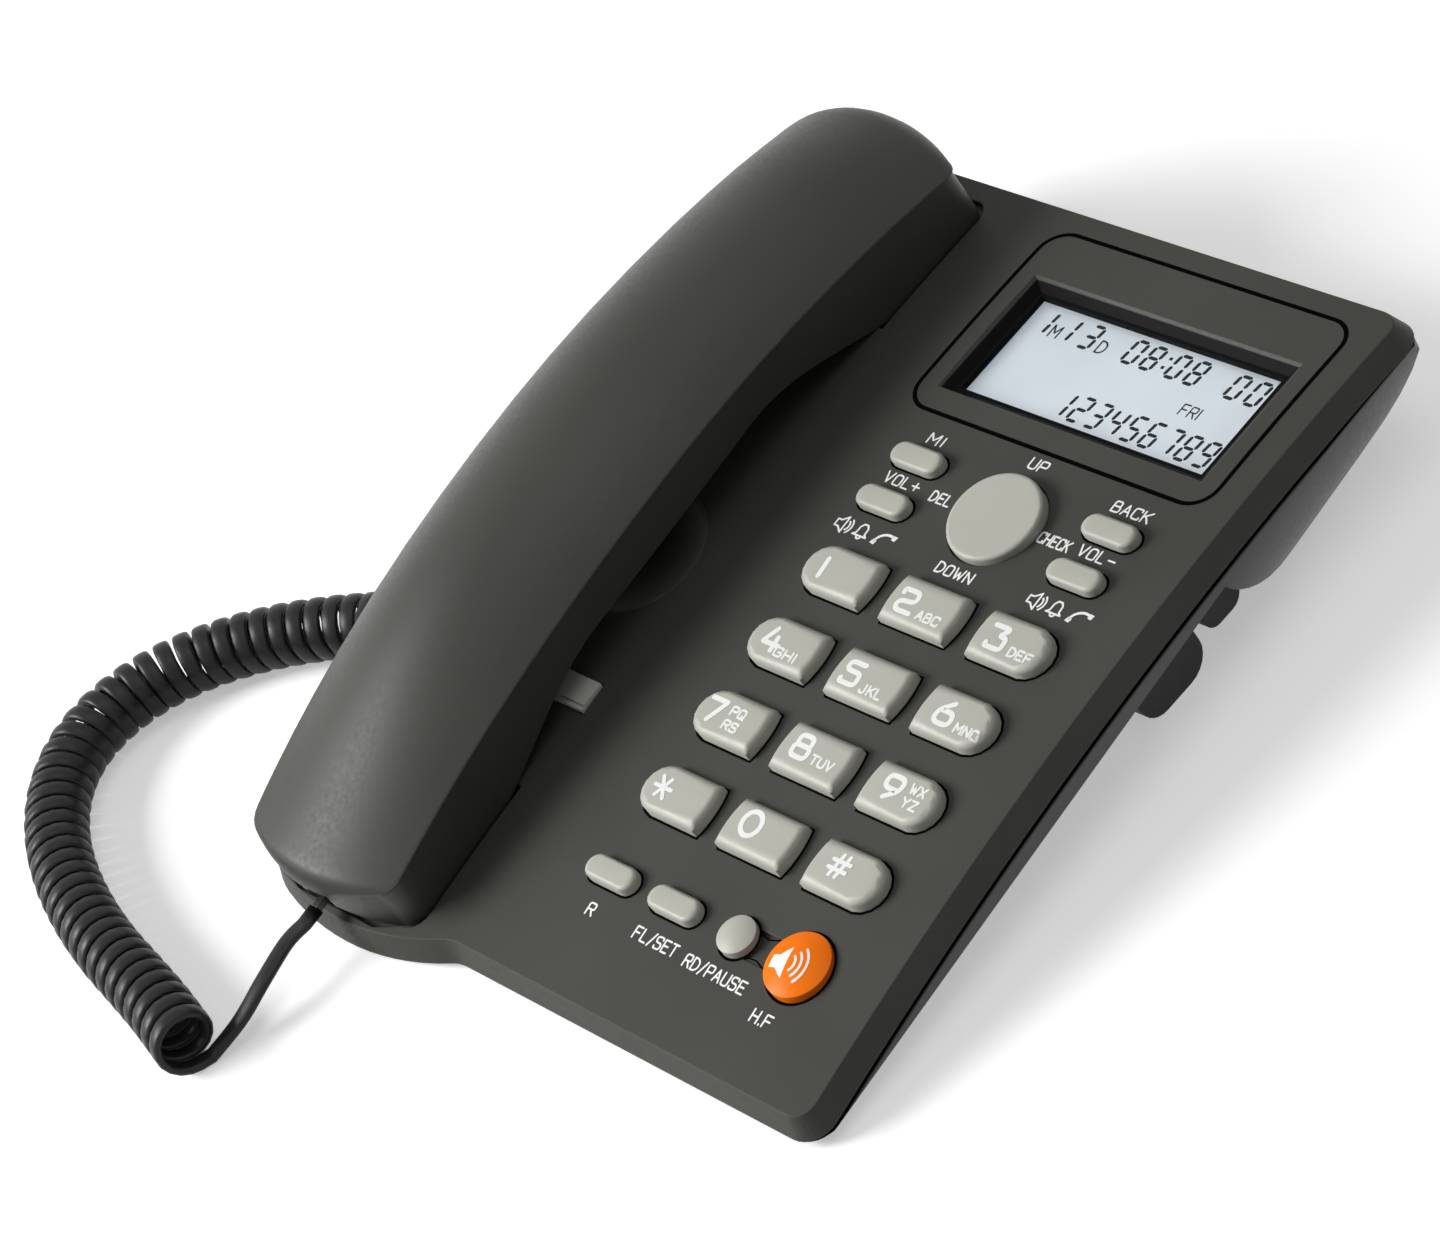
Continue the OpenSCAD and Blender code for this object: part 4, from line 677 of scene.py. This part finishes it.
for side in SIGN_SIDES:
    horn_at, bell_at, grip_at = (-34 + side, 30.2), (-28.6 + side, 30.2), (-22.3 + side, 30.3)
    horn_lines = [HORN] + [arc(r, -45, 45, 8) for r in (1.5, 2.3)]
    cover_print += [ribbon(outline(line, *horn_at), SIGN_STROKE) for line in horn_lines]
    cover_print += [ribbon(outline(line, *bell_at), SIGN_STROKE) for line in (BELL, CLAPPER)]
    cover_print.append(ribbon(rounded(outline(GRIP, *grip_at), GRIP_ROUND), GRIP_STROKE))
    cover_print += [filled(outline(end, *grip_at)) for end in GRIP_ENDS]
laid("cover_lettering", *joined(cover_print), "base_cover", "base", ink_white)

# Signs on the keys: text and middle. Height, width and stroke of digits, and of signs that differ
DIGIT_SIZE = (5.0, 4.2, 1.15)
SIGN_SIZES = {"0": (5.6, 4.9, 1.15), "1": (5.0, 0.5, 1.15), "*": (5.0, 4.2, 0.9), "#": (5.6, 4.9, 0.9)}
LETTER_H, LETTER_W, LETTER_GAP, LETTER_STROKE = 2.0, 2.1, 0.4, 0.52
DIGIT_SHIFT, SIGN_RISE = 0.7, 0.2
SIGN_SLANT = -0.06
KEY_LIFT = 0.04
KEY_WORDS = {
    "key_1": [("1", -28.8, 18.3)], "key_2": [("2", -4.5, 18.4), ("ABC", 3.4, 16.6)],
    "key_3": [("3", 20.8, 18.5), ("DEF", 28.9, 16.7)], "key_4": [("4", -27.9, -0.3), ("GHI", -21.9, -2.4)],
    "key_5": [("5", -4.7, -0.3), ("JKL", 3, -2.4)], "key_6": [("6", 21.6, -0.3), ("MNO", 29.4, -2.2)],
    "key_7": [("7", -29.4, -19), ("PQ", -22.8, -17.6), ("RS", -22.6, -20.9)],
    "key_8": [("8", -3.9, -18.5), ("TUV", 3.5, -20.1)],
    "key_9": [("9", 21.6, -18.6), ("WX", 28.3, -17.2), ("YZ", 28.4, -20.4)],
    "key_star": [("*", -28.7, -38.1)], "key_0": [("0", -3.4, -37.2)], "key_hash": [("#", 21.9, -37.4)],
}
bodies = {n: o["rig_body"] for n, o in nodes.items()}
for key, words in KEY_WORDS.items():
    parts = []
    for text, x, y in words:
        if text in "0123456789*#":
            size = SIGN_SIZES.get(text, DIGIT_SIZE)
            x += DIGIT_SHIFT
        else:
            size = (LETTER_H, LETTER_W * len(text) - LETTER_GAP, LETTER_STROKE)
        parts.append(written(text, x, y + SIGN_RISE, *size, slant=SIGN_SLANT))
    laid(key + "_legend", *joined(parts), key, bodies[key], ink_white, lift=KEY_LIFT)

# Sign of a sounding horn on the orange key: middle, scale and turn of the horn and of its waves
HORN_SET = (24.3, -58.8, 1.75, 0.2)
WAVE_SET = (24.7, -58.7, 1.5, 0.2)
HORN_GRID = 5
WAVES, WAVE_HALF, WAVE_STROKE = (1.4, 2.3, 3.2), 48, 0.55
speaker_sign = [patch(outline(corners, *HORN_SET), HORN_GRID) for corners in (HORN_BACK, HORN_MOUTH)]
for r in WAVES:
    speaker_sign.append(ribbon(outline(arc(r, -WAVE_HALF, WAVE_HALF), *WAVE_SET), WAVE_STROKE))
laid("key_speaker_legend", *joined(speaker_sign), "key_speaker", bodies["key_speaker"], ink_white)

# Joint of the two round keys' wells, seen as a fine groove
WELL_LINE, WELL_LIFT = 0.35, 0.03
WELL_EDGES = ([(12.6, -54.9), (14.8, -55.3), (17.4, -54.4)], [(13, -60.4), (15.2, -60.2), (18.4, -61.3)])
well_grooves = [ribbon(line, WELL_LINE) for line in WELL_EDGES]
laid("key_well_groove", *joined(well_grooves), "base_cover", "base", dark_groove_and_shade, lift=WELL_LIFT)


# Dark gaps round the keys: the real gaps, widened with a ring of painted shade on the cover
def around(points):
    """Outline round points, as their convex hull."""
    points = sorted(set((round(u, 3), round(v, 3)) for u, v in points))
    hull = []
    for run in (points, points[::-1]):
        half = []
        for q in run:
            while len(half) > 1:
                a, b = half[-2:]
                if (b[0] - a[0]) * (q[1] - a[1]) > (b[1] - a[1]) * (q[0] - a[0]):
                    break
                half.pop()
            half.append(q)
        hull += half[:-1]
    return [Vector(q) for q in hull]


GAP_W, GAP_LIFT = 0.6, 0.01
GAP_OUT = GAP_W * 0.6
LEAST_RISE = 0.1
gaps_and_shade = []
for name, key in nodes.items():
    if name.startswith("key_"):
        top = []
        for v in key.data.vertices:
            at = (v.co - ORIGIN) / MM
            if at.dot(UP) > crown(at.dot(BACK)) + LEAST_RISE:
                top.append((at.dot(RIGHT), at.dot(BACK)))
        ring = around(top)
        middle = sum(ring, Vector((0, 0))) / len(ring)
        ring = [q + (q - middle).normalized() * GAP_OUT for q in ring]
        gaps_and_shade.append(ribbon(ring + ring[:1], GAP_W))
points, faces = joined(gaps_and_shade)
gap_verts = [panel(q.x, q.y, crown(q.y) + GAP_LIFT) for q in points]
key_gaps_and_shade = mesh_piece("key_gaps_and_shade", gap_verts, faces, dark_groove_and_shade)
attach(key_gaps_and_shade, "base")

# Fine groove round the display frame, drawn wider and black as painted shade
GROOVE_W, GROOVE_D, GROOVE_R = 83.7, 52.4, 6.1
GROOVE_LINE, GROOVE_LIFT = 1.0, 0.03
groove = []
for qx, qy, a0 in ((1, 1, 0), (-1, 1, 90), (-1, -1, 180), (1, -1, 270)):
    corner = (qx * (GROOVE_W / 2 - GROOVE_R), qy * (GROOVE_D / 2 - GROOVE_R))
    groove += arc(GROOVE_R, a0, a0 + 90, 8, *corner)
groove = [Vector((BEZEL_X + u, BEZEL_Y + v * math.cos(BEZEL_LEAN))) for u, v in groove]
points, faces = ribbon(groove + groove[:1], GROOVE_LINE)
groove_verts = [panel(q.x, q.y, crown(q.y) + GROOVE_LIFT + q.z) for q in points]
bezel_groove_and_shade = mesh_piece("bezel_groove_and_shade", groove_verts, faces, dark_groove_and_shade)
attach(bezel_groove_and_shade, "base")

# Display digits: seven segments each, with a small gap at their ends and a lean to the right
SEGMENTS = {"0": "abcdef", "1": "bc", "2": "abged", "3": "abgcd", "4": "fgbc", "5": "afgcd", "6": "afgedc",
            "7": "abc", "8": "abcdefg", "9": "abcdfg"}
DIGIT_W, SEGMENT_GAP, DIGIT_LEAN = 2.9, 0.14, 0.1


def digit(c, x, y, high, thick):
    """Digit of seven segments round its middle."""
    h, w = high / 2, DIGIT_W / 2
    bars = {"a": ((-w, h), (w, h)), "b": ((w, h), (w, 0)), "c": ((w, 0), (w, -h)), "d": ((-w, -h), (w, -h)),
            "e": ((-w, 0), (-w, -h)), "f": ((-w, h), (-w, 0)), "g": ((-w, 0), (w, 0))}
    parts = []
    for s in SEGMENTS[c]:
        a, b = [Vector(end) for end in bars[s]]
        way = (b - a).normalized()
        side = Vector((-way.y, way.x)) * thick / 2
        tip = way * thick / 2
        a, b = a + way * SEGMENT_GAP, b - way * SEGMENT_GAP
        bar = [a, a + tip + side, b - tip + side, b, b - tip - side, a + tip - side]
        parts.append(filled([Vector((x + q.x + DIGIT_LEAN * q.y, y + q.y)) for q in bar]))
    return joined(parts)


# Date and time in the upper row, number in the lower row, small words and the two dots
UPPER_Y, UPPER_H, UPPER_LINE = 93.3, 6.1, 0.86
LOWER_Y, LOWER_H, LOWER_LINE = 76.0, 6.4, 0.82
LOWER_X, LOWER_STEP = -11.9, 4.95
UPPER_SCALE, UPPER_SHIFT = 0.97, 0.4
UPPER_ROW = [("1", -33), ("1", -26.2), ("3", -19.6), ("0", -6.8), ("8", -1.6), ("0", 5.6), ("8", 10.9),
             ("0", 22.4), ("0", 28)]
LCD_WORDS = [("M", -27.6, 91.8, 3.2, 2.2, 0.42), ("D", -14.3, 91.8, 3.2, 2, 0.42),
             ("FRI", 16.6, 84.2, 2.8, 4.9, 0.36)]
DOT = [(-0.4, -0.4), (0.4, -0.4), (0.4, 0.4), (-0.4, 0.4)]
DOTS_AT = [(2.5, 92), (2.8, 94.6)]
LCD_LIFT = 0.02
lcd_print = [digit(c, UPPER_SCALE * x + UPPER_SHIFT, UPPER_Y, UPPER_H, UPPER_LINE) for c, x in UPPER_ROW]
for i, c in enumerate("123456789"):
    lcd_print.append(digit(c, LOWER_X + LOWER_STEP * i, LOWER_Y, LOWER_H, LOWER_LINE))
lcd_print += [written(*word) for word in LCD_WORDS]
lcd_print += [filled(outline(DOT, *place)) for place in DOTS_AT]
laid("lcd_digits", *joined(lcd_print), "lcd_panel", "base", ink_dark, lift=LCD_LIFT)


# Floor and light: half width and grey of the floor, its glow to the eye, and light of the surroundings
FLOOR_HALF = 4
FLOOR_GREY = (0.86, 0.86, 0.86, 1)
FLOOR_GLOW = 0.42
WORLD_LIGHT = 0.16
WHITE = (1, 1, 1, 1)


def seen_directly(tree):
    """One for what the camera sees, straight or in metal and glass, and nought for other light."""
    path = node(tree, "ShaderNodeLightPath")
    value = path.outputs["Is Camera Ray"]
    for ray in ("Is Glossy Ray", "Is Transmission Ray"):
        either = node(tree, "ShaderNodeMath", operation="MAXIMUM")
        tree.links.new(value, either.inputs[0])
        tree.links.new(path.outputs[ray], either.inputs[1])
        value = either.outputs["Value"]
    return value


paper = bpy.data.materials.new("floor_paper")
paper.use_nodes = True
tree = paper.node_tree
tree.nodes.clear()
sheet = node(tree, "ShaderNodeBsdfDiffuse")
sheet.inputs["Color"].default_value = FLOOR_GREY
glow = node(tree, "ShaderNodeEmission")
strength = node(tree, "ShaderNodeMath", operation="MULTIPLY")
strength.inputs[1].default_value = FLOOR_GLOW
tree.links.new(seen_directly(tree), strength.inputs[0])
tree.links.new(strength.outputs["Value"], glow.inputs["Strength"])
both = node(tree, "ShaderNodeAddShader")
tree.links.new(sheet.outputs["BSDF"], both.inputs[0])
tree.links.new(glow.outputs["Emission"], both.inputs[1])
tree.links.new(both.outputs["Shader"], node(tree, "ShaderNodeOutputMaterial").inputs["Surface"])
floor_corners = [(FLOOR_HALF * u, FLOOR_HALF * v, 0) for u, v in ((-1, -1), (1, -1), (1, 1), (-1, 1))]
floor = mesh_piece("floor", floor_corners, [(0, 1, 2, 3)], paper)

world = bpy.data.worlds.new("studio")
world.use_nodes = True
scene.world = world
tree = world.node_tree
tree.nodes.clear()
dim = node(tree, "ShaderNodeBackground")
dim.inputs["Color"].default_value = WHITE
dim.inputs["Strength"].default_value = WORLD_LIGHT
white = node(tree, "ShaderNodeBackground")
white.inputs["Color"].default_value = WHITE
choose = node(tree, "ShaderNodeMixShader")
tree.links.new(seen_directly(tree), choose.inputs["Fac"])
tree.links.new(dim.outputs["Background"], choose.inputs[1])
tree.links.new(white.outputs["Background"], choose.inputs[2])
tree.links.new(choose.outputs["Shader"], node(tree, "ShaderNodeOutputWorld").inputs["Surface"])


def softbox(name, place, size, power):
    """Lamp at a place in metres, turned to the object."""
    lamp = bpy.data.lights.new(name, "AREA")
    lamp.shape = "RECTANGLE"
    lamp.size, lamp.size_y = size
    lamp.energy = power
    holder = bpy.data.objects.new(name, lamp)
    scene.collection.objects.link(holder)
    facing = (-Vector(place)).to_track_quat("-Z", "Y").to_matrix().to_4x4()
    holder.matrix_world = Matrix.Translation(place) @ facing


softbox("key_softbox", (-1.3, -1.25, 1.1), (1.0, 0.9), 53)
softbox("top_softbox", (0.3, 0.2, 1.7), (1.2, 1.2), 5)
